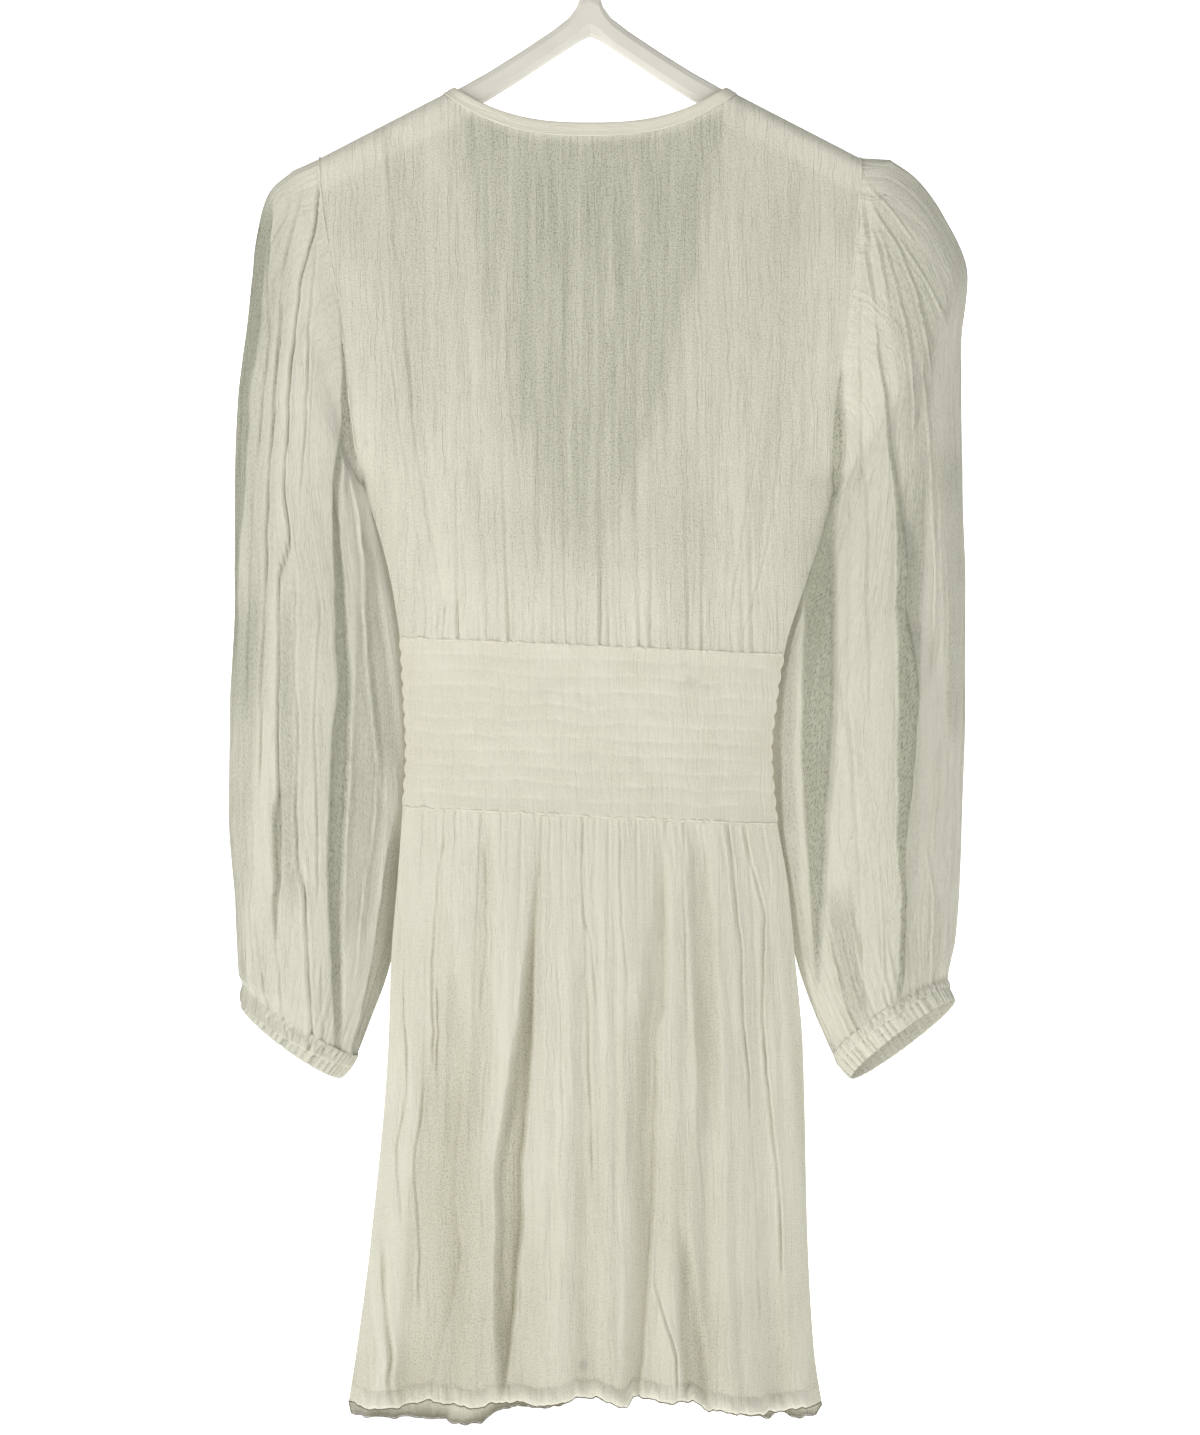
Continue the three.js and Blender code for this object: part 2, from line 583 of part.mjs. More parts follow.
// A wire hook whose inner top is the origin.
function hangerHook() {
  const centre = HOOK_WIRE / 2 - HOOK_RADIUS;
  const route = [];
  for (let degrees = 205; degrees >= -35; degrees -= 20) {
    const angle = THREE.MathUtils.degToRad(degrees);
    route.push(new THREE.Vector3(HOOK_RADIUS * Math.cos(angle), 0, centre + HOOK_RADIUS * Math.sin(angle)));
  }
  const bossTop = heightOf(ridgeDrop(0)) + BOSS_LIFT - HANGER_SEAT;
  route.push(new THREE.Vector3(2.5, 0, bossTop + 18));
  route.push(new THREE.Vector3(0, 0, bossTop + 10));
  route.push(new THREE.Vector3(0, 0, bossTop + SEAM_GAP));
  const section = new THREE.Shape(
    angles(8).map((angle) => new THREE.Vector2(Math.cos(angle), Math.sin(angle)).multiplyScalar(HOOK_WIRE / 2))
  );
  return new THREE.ExtrudeGeometry(section, {
    steps: 30,
    extrudePath: new THREE.CatmullRomCurve3(route),
    curveSegments: 1,
  });
}

// Assembly

const dress = new THREE.Group();

function add(name, geometry, material) {
  const mesh = new THREE.Mesh(geometry, material);
  mesh.name = name;
  dress.add(mesh);
}

add("bodice_back", backBodice(), CLOTH_PAINT);
add("bodice_front_left", frontBodice(1), CLOTH_PAINT);
add("bodice_front_right", frontBodice(-1), CLOTH_PAINT);
add("neck_binding", neckBinding(), BAND_PAINT);
add("waistband_back", waistband(1), BAND_PAINT);
add("waistband_front", waistband(-1), BAND_PAINT);
add("skirt_back", skirt(1), CLOTH_PAINT);
add("skirt_front", skirt(-1), CLOTH_PAINT);
add("sleeve_left", sleeve(1, LEFT_SLEEVE), CLOTH_PAINT);
add("sleeve_right", sleeve(-1, RIGHT_SLEEVE), CLOTH_PAINT);
add("cuff_left", cuff(1, LEFT_SLEEVE), BAND_PAINT);
add("cuff_right", cuff(-1, RIGHT_SLEEVE), BAND_PAINT);
add("hanger_body", hangerBody(), HANGER_PAINT);
add("hanger_hook", hangerHook(), HOOK_PAINT);

export default dress;
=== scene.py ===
# Mini dress of crinkled cotton gauze on a hanger: the cloth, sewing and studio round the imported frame.
# Sizes are in millimetres and places in the part's own frame; a drop is a distance below the neck.
import math
from collections import namedtuple
import bpy
import numpy as np
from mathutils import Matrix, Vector


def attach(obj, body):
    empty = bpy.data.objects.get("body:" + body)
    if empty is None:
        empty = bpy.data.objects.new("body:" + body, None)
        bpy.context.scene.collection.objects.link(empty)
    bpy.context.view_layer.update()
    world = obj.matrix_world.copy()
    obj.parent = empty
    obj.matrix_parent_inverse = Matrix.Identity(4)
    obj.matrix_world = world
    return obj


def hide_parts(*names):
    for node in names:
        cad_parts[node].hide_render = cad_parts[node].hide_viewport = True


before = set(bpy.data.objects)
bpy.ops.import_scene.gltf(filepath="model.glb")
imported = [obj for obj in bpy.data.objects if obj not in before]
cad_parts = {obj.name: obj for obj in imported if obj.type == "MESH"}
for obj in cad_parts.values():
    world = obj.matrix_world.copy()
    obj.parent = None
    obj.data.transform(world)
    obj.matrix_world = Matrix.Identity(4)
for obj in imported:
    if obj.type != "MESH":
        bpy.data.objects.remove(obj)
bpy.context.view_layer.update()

# Driving sizes, the same as the solids' own, but for the halves of the closed shoulders
NECK_BELOW_RAIL = 127
SEAM_GAP = 0.3
NECK_X = 87
SHOULDER_X = 174
SHOULDER_DROP = 45
UNDERARM_DROP = 254
RIDGE_RADIUS = 9
RIDGE_HALF = 0.03
WAIST_TOP = 359
WAIST_BOTTOM = 468
WAIST_TILT = 5.5
BACK_NECK_DROP = 23
NECK_CURVE = 2.6
V_DROP = 340
V_CURVE = 1.7
BINDING_WIDTH = 9
SECTION_CURVE = 2.4
SMOCK_ROWS = 11
CUFF_WIDTH = 17
LENS = 0.4
PANEL_NECK_X = NECK_X + BINDING_WIDTH * 0.9

# Sizes of the looks alone: how far pieces lap at a seam, how soon folds fade at a seam and at their ends,
# the waist's half width, the hem's stitching, the lengths round an arm and a cuff, and the cuff's ribs.
MM = 0.001
LAP = 1.2
SEAM_FADE = 3.5
VALLEY_END = 40
CREASE_END = 24
HALF_WAIST = 120
HEM_TURN = 11.2
ARM_ROUND = 236
CUFF_ROUND = 170
CUFF_RIBS = 46

# Points of the grids: down, then across; the back bodice has its neck's columns before each shoulder's, and
# the sleeves have the armhole's rows before the arm's.
BACK_BODICE_GRID = (170, 200, 76)
FRONT_BODICE_GRID = (150, 145)
BINDING_GRID = (130, 121)
WAISTBAND_GRID = (140, 226)
BACK_SKIRT_GRID = (166, 560)
FRONT_SKIRT_GRID = (140, 330)
HEM_ROWS = 26
SLEEVE_GRID = (13, 152, 392)
CUFF_GRID = (26, 420)
ARMHOLE_STEPS = 360
WAIST_SEAM_STEPS = 420
HEM_EDGE_STEPS = 900

# A crease is a narrow groove between two crests, or a ridge where its depth is below zero. A valley is a
# trough between two paths, with a softness for each edge, and a sheerness: how much painted shade shows
# through.
# A path is a list of drops and places, and all of them are in millimetres.
Crease = namedtuple("Crease", "depth width path")
Valley = namedtuple("Valley", "depth sheer soft low high")
# A sleeve's section: its edge towards the body and its outer edge, half its depth, how far back each
# edge lies, and how far the section's middle dips.
Section = namedtuple("Section", "in_x in_drop out_x out_drop depth in_y out_y dip")
SkirtLook = namedtuple("SkirtLook", "hem pinched troughs valleys lines")

LATTICE = np.random.default_rng(11).uniform(-1, 1, (512, 512))


def make_creases(*rows):
    """Creases from rows of a depth, a width and the points of a path."""
    return tuple(Crease(row[0], row[1], row[2:]) for row in rows)


def make_valleys(*rows):
    """Valleys from rows of a depth, a sheerness for painted shade, two edge widths and the two paths."""
    return tuple(Valley(*row) for row in rows)


def make_sections(*rows):
    return tuple(Section(*row) for row in rows)


def track(*points):
    """A smooth curve through pairs of place and value, with no overshoot."""
    xs = np.array([p[0] for p in points], float)
    ys = np.array([p[1] for p in points], float)
    slopes = np.diff(ys) / np.diff(xs)
    before, after = slopes[:-1], slopes[1:]
    total = np.where(before * after > 0, before + after, 1)
    inner = np.where(before * after > 0, 2 * before * after / total, 0)
    tangents = np.concatenate([slopes[:1], inner, slopes[-1:]])

    def at(place):
        place = np.clip(place, xs[0], xs[-1])
        i = np.clip(np.searchsorted(xs, place, side="right") - 1, 0, len(xs) - 2)
        span = xs[i + 1] - xs[i]
        t = (place - xs[i]) / span
        start = ys[i] * (1 + 2 * t) * (1 - t) ** 2 + tangents[i] * span * t * (1 - t) ** 2
        return start + ys[i + 1] * t * t * (3 - 2 * t) + tangents[i + 1] * span * t * t * (t - 1)

    return at


def noise(x, y, layer=0):
    """Smooth noise from -1 to 1 on a lattice of spacing one; each layer reads another part of it."""
    x = x + 37.7 * layer
    y = y + 91.3 * layer
    i = np.floor(x).astype(int)
    j = np.floor(y).astype(int)
    u = smooth(x - i)
    v = smooth(y - j)
    size = len(LATTICE)
    left, right, top, bottom = i % size, (i + 1) % size, j % size, (j + 1) % size
    above = LATTICE[left, top] * (1 - u) * (1 - v) + LATTICE[right, top] * u * (1 - v)
    return above + LATTICE[left, bottom] * (1 - u) * v + LATTICE[right, bottom] * u * v


def smooth(x):
    x = np.clip(x, 0, 1)
    return x * x * (3 - 2 * x)


def bell(x):
    return np.exp(-x * x)


def mix(a, b, t):
    return a + (b - a) * t


# Form of the body: half width, half depth and hem, each from a drop or from a share of the half width

HALF_LEFT = track(
    (0, 174), (45, 174), (150, 160), (254, 147), (280, 138), (305, 131), (330, 126), (359, 122),
    (395, 120), (425, 118.5), (468, 121), (510, 124), (560, 128), (618, 130), (740, 141), (810, 150),
    (862, 158),
)
HALF_RIGHT = track(
    (0, 174), (45, 174), (150, 166), (205, 159), (234, 156.5), (254, 158.5), (263, 157.5), (280, 152),
    (305, 144), (330, 135), (359, 126), (395, 120), (425, 117), (468, 120), (510, 127), (560, 132),
    (618, 137), (740, 140), (810, 144), (862, 152),
)
# Depths of the body: drop, half depth of the back, half depth of the front.
DEPTHS = (
    (0, 9, 9), (45, 12, 12), (150, 19, 18), (254, 23, 22), (280, 23, 22), (305, 22, 21),
    (330, 19, 19), (359, 16, 16), (395, 15, 15), (425, 15, 15), (468, 17, 17), (510, 22, 22),
    (560, 27, 26), (618, 31, 30), (740, 35, 34), (810, 38, 37), (862, 40, 39),
)
DEPTH_BACK = track(*((drop, back) for drop, back, _ in DEPTHS))
DEPTH_FRONT = track(*((drop, front) for drop, _, front in DEPTHS))
# Half depths at the sides: of the form near its edge, and of the edge itself, where back and front meet.
SIDE_FORM = track(
    (0, 8.5), (60, 9), (110, 13.5), (155, 15), (200, 13), (236, 9), (254, 6.5), (300, 2), (340, 0.2),
    (870, 0.2),
)
SIDE_HALF = track(
    (0, 8.5), (60, 9), (110, 13.5), (155, 15), (200, 13), (236, 7), (254, 0.02), (870, 0.02),
)
HEM_BACK = track(
    (-1, 845.5), (-0.94, 848), (-0.82, 849), (-0.7, 851), (-0.58, 849), (-0.49, 846), (-0.44, 841),
    (-0.34, 842), (-0.26, 838.5), (-0.19, 837.5), (-0.155, 844.5), (-0.11, 843.5), (-0.05, 839),
    (0.01, 838), (0.12, 842), (0.2, 843.5), (0.34, 842), (0.41, 843.5), (0.49, 846), (0.6, 843.5),
    (0.66, 842), (0.8, 848), (0.91, 849), (1, 844),
)
HEM_FRONT = track(
    (-1, 847), (-0.95, 854), (-0.88, 855.5), (-0.81, 852.5), (-0.76, 856.5), (-0.68, 856.5),
    (-0.63, 852.5), (-0.5, 840), (-0.2, 836), (0, 838), (0.05, 846), (0.13, 852), (0.19, 853),
    (0.28, 851), (0.38, 855), (0.42, 858), (0.45, 863.5), (0.53, 862.5), (0.6, 858), (0.69, 857),
    (0.93, 854.5), (0.98, 852.5), (1, 845),
)


def ridge_drop(x):
    return (np.abs(x) - NECK_X) * SHOULDER_DROP / (SHOULDER_X - NECK_X)


def half_width(drop, share):
    return np.where(share >= 0, HALF_LEFT(drop), HALF_RIGHT(drop))


def waist_top(share):
    return WAIST_TOP - WAIST_TILT * share


def waist_bottom(share):
    return WAIST_BOTTOM - WAIST_TILT * share


def body_points(side, x, drop, bump=0.0):
    """Points of the cloth's surface: side is 1 on the back and -1 on the front."""
    share = np.clip(np.abs(x / half_width(drop, x)), 0, 1)
    depth = DEPTH_BACK(drop) if side > 0 else DEPTH_FRONT(drop)
    form = SIDE_FORM(drop)
    inset = 1 - share ** SECTION_CURVE
    full = form + (depth - form) * inset + (SIDE_HALF(drop) - form) * share ** 9
    full = full + bump * np.minimum(1, inset * 4)
    below = np.clip((drop - ridge_drop(x)) / RIDGE_RADIUS, 0, 1)
    rounding = np.sqrt(1 - (1 - below) ** 2)
    y = side * (RIDGE_HALF + (full - RIDGE_HALF) * rounding)
    return np.stack([x, y, -(NECK_BELOW_RAIL + drop)], axis=-1)


# Meshes

def normals_of(points, tube):
    """Unit normals of a grid of points."""
    if tube:
        across = np.roll(points, -1, axis=1) - np.roll(points, 1, axis=1)
    else:
        across = np.gradient(points, axis=1)
    down = np.gradient(points, axis=0)
    normal = np.cross(across, down)
    length = np.linalg.norm(normal, axis=-1, keepdims=True)
    return normal / np.maximum(length, 1e-9)


def outward_sign(points, normal, toward):
    i, j = points.shape[0] // 2, points.shape[1] // 2
    return 1.0 if np.dot(normal[i, j], toward) > 0 else -1.0


def mesh_piece(name, points, material, node, across, down, thin=0.0, stain=0.0,
               tube=False, toward=None, sign=1.0):
    """A mesh object of a grid of points in millimetres, with cloth coordinates, painted shade and stains.

    Across and down are lengths along the cloth. The faces look along toward, where it is given.
    """
    if toward:
        sign = outward_sign(points, normals_of(points, tube), toward)
    rows, columns = points.shape[:2]
    across, down = np.broadcast_to(across, (rows, columns)), np.broadcast_to(down, (rows, columns))
    index = np.arange(rows * columns).reshape(rows, columns)
    right = np.roll(index, -1, axis=1) if tube else index[:, 1:]
    left = index if tube else index[:, :-1]
    quads = np.stack([left[:-1], left[1:], right[1:], right[:-1]], axis=-1).reshape(-1, 4)
    if sign < 0:
        quads = quads[:, ::-1]
    mesh = bpy.data.meshes.new(name)
    mesh.from_pydata((points.reshape(-1, 3) * MM).tolist(), [], quads.tolist())
    uv = mesh.uv_layers.new(name="cloth")
    corner = quads.reshape(-1)
    flat = np.stack([across.reshape(-1)[corner], down.reshape(-1)[corner]], axis=-1) * MM
    if tube:
        # The last column's faces go on round, past the width, back to the first column's points.
        order = [False, False, True, True]
        seam = np.tile(order if sign > 0 else order[::-1], len(quads))
        last = np.tile(np.repeat(np.arange(columns), 4), rows - 1) == columns - 1
        flat[seam & last, 0] += float(across.max() + across[0, 1] - across[0, 0]) * MM
    uv.data.foreach_set("uv", flat.reshape(-1))
    for key, values in (("thin", thin), ("stain", stain)):
        layer = mesh.attributes.new(key, "FLOAT", "POINT")
        values = np.broadcast_to(values, (rows, columns))
        layer.data.foreach_set("value", np.ascontiguousarray(values, dtype=np.float32).reshape(-1))
    mesh.polygons.foreach_set("use_smooth", [True] * len(mesh.polygons))
    mesh.materials.append(material)
    mesh.update()
    piece = bpy.data.objects.new(name, mesh)
    bpy.context.scene.collection.objects.link(piece)
    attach(piece, "root")
    if node:
        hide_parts(node)
    return piece


# Creases

def crinkle(across, down, layer, strength=1.0):
    """The gauze's own fine crinkles, which run down the cloth, uneven in height and length."""
    sway = 1.8 * noise(across / 16, down / 50, layer + 1)
    across = across + sway + 0.7 * noise(across / 6, down / 15, layer + 8)
    fine = noise(across / 1.7, down / 26, layer + 2)
    medium = noise(across / 3.3, down / 42, layer + 3)
    crest = np.maximum(1 - 2.2 * np.abs(noise(across / 6.5, down / 75, layer + 4)), 0)
    patch = 0.6 + 0.4 * noise(across / 26, down / 70, layer + 5)
    line = bell(noise(across / 4.2, down / 70, layer + 6) / 0.15)
    line = line * np.clip(0.3 + 1.2 * noise(across / 13, down / 45, layer + 7), 0, 1)
    return strength * (patch * (0.1 * fine + 0.2 * medium + 0.2 * crest ** 2) - 0.3 * line)


def pinches(across, distance, rows):
    """Creases pinched by a seam, each a narrow groove between two crests that fades away from it."""
    height = 0
    for place, reach, depth, width in rows:
        wide = 0.72 * width * (1 + 0.5 * distance / reach)
        away = (across - place - 0.03 * distance * np.sin(place)) / wide
        fade = np.exp(-(np.maximum(distance, 0) / reach) ** 1.4)
        height += depth * fade * (0.3 * bell(np.abs(away) - 1.7) - bell(away))
    return height


def shown(drop, path, reach):
    """How much of a fold is there: it fades in and out at the ends of its path."""
    return smooth((drop - path[0][0]) / reach + 0.5) * smooth((path[-1][0] - drop) / reach + 0.5)


def relief(x, drop, valleys, lines, layer, strength=1.0):
    """The height, and the painted shade seen through the cloth, that valleys and creases give."""
    wander = 1.1 * noise(x / 40, drop / 32, layer) + 0.5 * noise(x / 15, drop / 9, layer + 1)
    height = 0 * (x + drop)
    sheer = 0 * height
    for valley in valleys:
        low = track(*valley.low)(drop) + wander
        high = track(*valley.high)(drop) + wander
        inside = smooth((x - low) / valley.soft[0] + 0.5) * smooth((high - x) / valley.soft[1] + 0.5)
        inside *= shown(drop, valley.low, VALLEY_END)
        # A narrow trough can't be as deep as a wide one.
        room = np.clip((high - low) / (1.2 * valley.depth), 0.3, 1)
        height -= valley.depth * inside * room
        # Painted shade in the trough, as seen through the cloth.
        sheer += valley.sheer * inside
    for line in lines:
        away = (x - track(*line.path)(drop) - wander) / (0.7 * line.width)
        groove = bell(away) - 0.35 * bell((np.abs(away) - 2.2) / 1.3)
        uneven = 0.8 + 0.35 * noise(x / 50, drop / 22, layer + 2)
        groove = groove * shown(drop, line.path, CREASE_END) * uneven
        height -= 0.8 * strength * line.depth * groove
        # Painted shade in the groove, less of it on a ridge.
        sheer += 0.1 * strength * line.depth * groove
    return height, sheer


def gathers(across, distance, pitch, height, reach, layer):
    """Small gathers all along a seam, uneven in pitch, height and length."""
    wander = across / pitch + 0.55 * noise(across / (2.3 * pitch), distance / 60, layer)
    wave = np.cos(2 * np.pi * wander)
    uneven = 0.65 + 0.5 * noise(across / (1.6 * pitch), 0, layer + 1)
    length = reach * (1 + 0.6 * noise(across / (1.3 * pitch), 0, layer + 2))
    return height * wave * uneven * np.exp(-distance / np.maximum(length, 4))


# Materials

CREAM = (0.842, 0.833, 0.767)
CREAM_BAND = (0.842, 0.828, 0.764)
# Painted shade, as seen through single cloth.
SHEER_SHADE_COLOUR = (0.665, 0.665, 0.588)
# Warmer painted shade for folds in doubled cloth.
WARM_SHADE_COLOUR = (0.672, 0.655, 0.545)
# Painted shade seen through the holes of the weave.
HOLE_SHADE_COLOUR = (0.4, 0.405, 0.35)
SHADE = (0.5, 0.49, 0.41)
GLINT = (0.9, 0.885, 0.835)
STAIN = (0.5, 0.51, 0.5)
# Fine lines of painted shade and painted highlight along the warp, more of them in some patches: colour,
# level, width, strength added there, least.
FINE_SHADE_AND_GLINT_LINES = ((SHADE, 0.5, 0.022, 0.07, 0.015), (GLINT, 0.56, 0.03, 0.12, 0.03))


def linear(colour):
    """Linear values of a colour given as it looks on a screen."""
    return tuple(c / 12.92 if c <= 0.04045 else ((c + 0.055) / 1.055) ** 2.4 for c in colour)


class Nodes:
    """Short calls for building one material."""

    def __init__(self, name):
        self.material = bpy.data.materials.new(name)
        self.material.use_nodes = True
        self.tree = self.material.node_tree
        self.shader = self.tree.nodes["Principled BSDF"]

    def add(self, kind, **settings):
        node = self.tree.nodes.new(kind)
        for key, value in settings.items():
            setattr(node, key, value)
        return node

    def link(self, source, target):
        self.tree.links.new(source, target)

    def math(self, operation, a, b=None, c=None):
        node = self.add("ShaderNodeMath", operation=operation)
        for socket, value in zip(node.inputs, (a, b, c)):
            if value is None:
                continue
            if isinstance(value, (int, float)):
                socket.default_value = value
            else:
                self.link(value, socket)
        return node.outputs[0]

    def blend(self, factor, a, b, mode="MIX"):
        node = self.add("ShaderNodeMix", data_type="RGBA", blend_type=mode)
        for socket, value in ((node.inputs[0], factor), (node.inputs[6], a), (node.inputs[7], b)):
            if isinstance(value, (int, float)):
                socket.default_value = value
            elif isinstance(value, tuple):
                socket.default_value = (*value, 1)
            else:
                self.link(value, socket)
        return node.outputs[2]

    def fill(self, node, values):
        for key, value in values.items():
            node.inputs[key].default_value = value

    def noise(self, vector, stretch, detail=2.0, roughness=0.5):
        mapping = self.add("ShaderNodeMapping")
        self.fill(mapping, {"Scale": stretch})
        self.link(vector, mapping.inputs["Vector"])
        node = self.add("ShaderNodeTexNoise")
        self.fill(node, {"Scale": 1.0, "Detail": detail, "Roughness": roughness})
        self.link(mapping.outputs[0], node.inputs["Vector"])
        return node.outputs["Fac"]

    def ramp(self, value, low, high):
        node = self.add("ShaderNodeMapRange")
        self.fill(node, {"From Min": low, "From Max": high})
        self.link(value, node.inputs["Value"])
        return node.outputs[0]

    def line(self, value, at, width):
        """One where a value passes a level, falling to nothing a width away."""
        return self.ramp(self.math("ABSOLUTE", self.math("SUBTRACT", value, at)), width, 0.0)

    def bump(self, height, distance, normal=None):
        node = self.add("ShaderNodeBump")
        self.fill(node, {"Distance": distance, "Strength": 1.0})
        self.link(height, node.inputs["Height"])
        if normal:
            self.link(normal, node.inputs["Normal"])
        return node.outputs["Normal"]


def gauze(name, tint, sheer, weave=1.0):
    """Crinkled cotton gauze: open weave, soft warp streaks, and painted grey shade where it's see-through.
    """
    n = Nodes(name)
    uv = n.add("ShaderNodeUVMap", uv_map="cloth").outputs[0]
    thin = n.add("ShaderNodeAttribute", attribute_name="thin").outputs["Fac"]
    stain = n.add("ShaderNodeAttribute", attribute_name="stain").outputs["Fac"]
    # The warp wanders a few millimetres to either side.
    wander = n.math("MULTIPLY_ADD", n.noise(uv, (32, 38, 1), 2.0), 0.006, -0.003)
    shift = n.add("ShaderNodeCombineXYZ")
    n.link(wander, shift.inputs["X"])
    bent = n.add("ShaderNodeVectorMath", operation="ADD")
    n.link(uv, bent.inputs[0])
    n.link(shift.outputs[0], bent.inputs[1])
    bent = bent.outputs[0]
    streak = n.noise(bent, (430, 16, 1), 3.0, 0.6)
    cloud = n.noise(uv, (26, 11, 1), 2.0)
    grain = n.noise(uv, (980, 820, 1), 2.0, 0.7)
    slub = n.noise(uv, (90, 1100, 1), 2.0, 0.6)
    weft = n.noise(uv, (160, 1300, 1), 1.0)
    # The mix towards the painted shade colour: the painted see-through shade, and tone that differs at
    # random.
    body = thin
    for noise_of, share in ((cloud, 0.3), (streak, 0.3 * weave), (slub, 0.2 * weave)):
        body = n.math("ADD", body, n.math("MULTIPLY", n.math("SUBTRACT", noise_of, 0.5), share))
    body = n.math("MINIMUM", n.math("MAXIMUM", body, 0.0), 1.0)
    colour = n.blend(body, linear(tint), linear(sheer))
    warp = n.noise(bent, (210, 9, 1), 3.0, 0.62)
    patchy = n.ramp(n.noise(uv, (45, 22, 1), 1.0), 0.35, 0.65)
    # Fine lines of painted shade and painted highlight along the warp.
    for tone, at, width, more, least in FINE_SHADE_AND_GLINT_LINES:
        share = n.math("MULTIPLY_ADD", patchy, more * weave, least)
        colour = n.blend(n.math("MULTIPLY", n.line(warp, at, width), share), colour, linear(tone))
    # Painted shade seen through the holes of the open weave, more of it where the cloth is see-through.
    hole_shade = n.ramp(grain, 0.5, 0.64)
    hole_shade = n.math("MULTIPLY", hole_shade, n.math("MULTIPLY_ADD", body, 0.8, 0.1 * weave))
    colour = n.blend(hole_shade, colour, linear(HOLE_SHADE_COLOUR))
    colour = n.blend(n.math("MULTIPLY", stain, 0.55), colour, linear(STAIN))
    n.link(colour, n.shader.inputs["Base Color"])
    n.fill(n.shader, {
        "Roughness": 0.95, "Specular IOR Level": 0.15, "Sheen Weight": 0.2, "Sheen Roughness": 0.6})
    normal = n.bump(grain, 0.0005 * weave)
    normal = n.bump(weft, 0.00022 * weave, normal)
    normal = n.bump(streak, 0.0006, normal)
    normal = n.bump(n.line(warp, 0.56, 0.06), 0.00025 * weave, normal)
    n.link(normal, n.shader.inputs["Normal"])
    return n.material


def plain(name, colour, grain, detail, darker, bump, roughness, glossy=0.0, metal=0.0):
    """Thread, moulded plastic or drawn wire, with fine marks in colour, gloss and relief."""
    n = Nodes(name)
    place = n.add("ShaderNodeTexCoord").outputs["Object"]
    tone = n.noise(place, grain, detail)
    dark = tuple(darker * c for c in linear(colour))
    n.link(n.blend(tone, linear(colour), dark), n.shader.inputs["Base Color"])
    n.fill(n.shader, {"Roughness": roughness, "Metallic": metal})
    if glossy:
        n.link(n.math("MULTIPLY_ADD", tone, glossy, roughness), n.shader.inputs["Roughness"])
    n.link(n.bump(tone, bump), n.shader.inputs["Normal"])
    return n.material


GAUZE = gauze("crinkled_gauze", CREAM, SHEER_SHADE_COLOUR)
SKIRT_GAUZE = gauze("doubled_gauze", CREAM, WARM_SHADE_COLOUR, 0.8)
BAND = gauze("folded_gauze", CREAM_BAND, WARM_SHADE_COLOUR, 0.4)
OVERLOCK = plain("overlock_thread", (0.56, 0.54, 0.47), (900, 900, 900), 2.0, 0.7, 0.0002, 0.8)

# Bodice

# Creases pinched by a seam: place, reach, depth, width.
BACK_BODICE_CREASES = (
    (84.5, 105, 1.9, 1.5), (66, 40, 1.0, 1.2), (51.8, 120, 1.9, 1.6), (36, 34, 0.8, 1.2),
    (24.3, 75, 1.2, 1.3), (15, 62, 1.1, 1.2), (-6.4, 135, 1.8, 1.4), (-12.2, 90, 1.7, 1.3),
    (-31.4, 52, 1.2, 1.3), (-38.4, 88, 1.5, 1.4), (-50, 36, 0.8, 1.2), (-62.7, 96, 1.7, 1.5),
    (-71.7, 58, 1.3, 1.3), (-88, 40, 0.9, 1.3), (-104, 92, 1.7, 1.6), (101, 64, 1.1, 1.5),
)
# Long soft folds of the back: place at the waist and at the shoulders, width, depth, drop of both ends.
BACK_FOLDS = (
    (92, 131, 6, 0.9, 60, 350), (-8, -11, 2.6, 1.1, 70, 360), (4, -3, 3, 0.8, 120, 340),
    (-32, -28, 3.4, 0.9, 60, 330), (30, 36, 3.4, 0.8, 90, 330), (62, 82, 5, 1.0, 130, 350),
    (-72, -92, 5, 1.0, 150, 350), (-98, -132, 6, 1.1, 170, 345), (16, 14, 2.8, 0.8, 45, 330),
)
BACK_BODICE_VALLEYS = make_valleys(
    (0.9, 0.1, (14, 3.5),
     ((30, 108), (92, 104), (134, 98), (196, 92), (217, 90)),
     ((30, 131), (92, 126), (134, 119), (196, 115), (217, 111))),
)
BACK_BODICE_LINES = make_creases(
    (1.0, 1.6, (30, 131), (92, 127), (134, 120), (217, 112), (290, 101), (345, 92)),
    (0.8, 1.2, (120, 134), (190, 125), (250, 116), (300, 108)),
    (0.9, 1.2, (225, -123), (280, -116), (330, -104), (352, -98)),
    (0.8, 1.2, (150, -118), (220, -110), (290, -97), (340, -90)),
    (0.8, 1.1, (270, -9), (310, -8), (352, -6.5)),
    (0.7, 1.1, (60, -8), (130, -12), (200, -16), (250, -14)),
    (0.7, 1.1, (150, 54), (210, 50), (260, 44), (330, 38)),
)


def long_folds(x, drop, folds):
    """Soft troughs that run down a panel, each between two drops."""
    height = 0
    for low_x, high_x, width, depth, top, bottom in folds:
        t = np.clip((drop - top) / (bottom - top), 0, 1)
        ends = smooth((drop - top) / 50) * smooth((bottom - drop) / 50)
        height -= depth * ends * bell((x - mix(high_x, low_x, t)) / width)
    return height


def back_neck_drop(x, widening):
    end = ridge_drop(PANEL_NECK_X)
    low = BACK_NECK_DROP + BINDING_WIDTH + widening
    return end + (low - end) * (1 - (np.abs(x) / PANEL_NECK_X) ** NECK_CURVE)


def front_neck_x(drop, gap):
    return PANEL_NECK_X * (1 - (np.clip(drop, 0, WAIST_TOP) / WAIST_TOP) ** V_CURVE) + gap


def rows_from_ridge(count):
    """Shares down a panel, close together where it rounds over the shoulder."""
    near = np.array([0, 0.002, 0.006, 0.012, 0.02, 0.028])
    return np.concatenate([near, np.linspace(0.036, 1, count - len(near))])


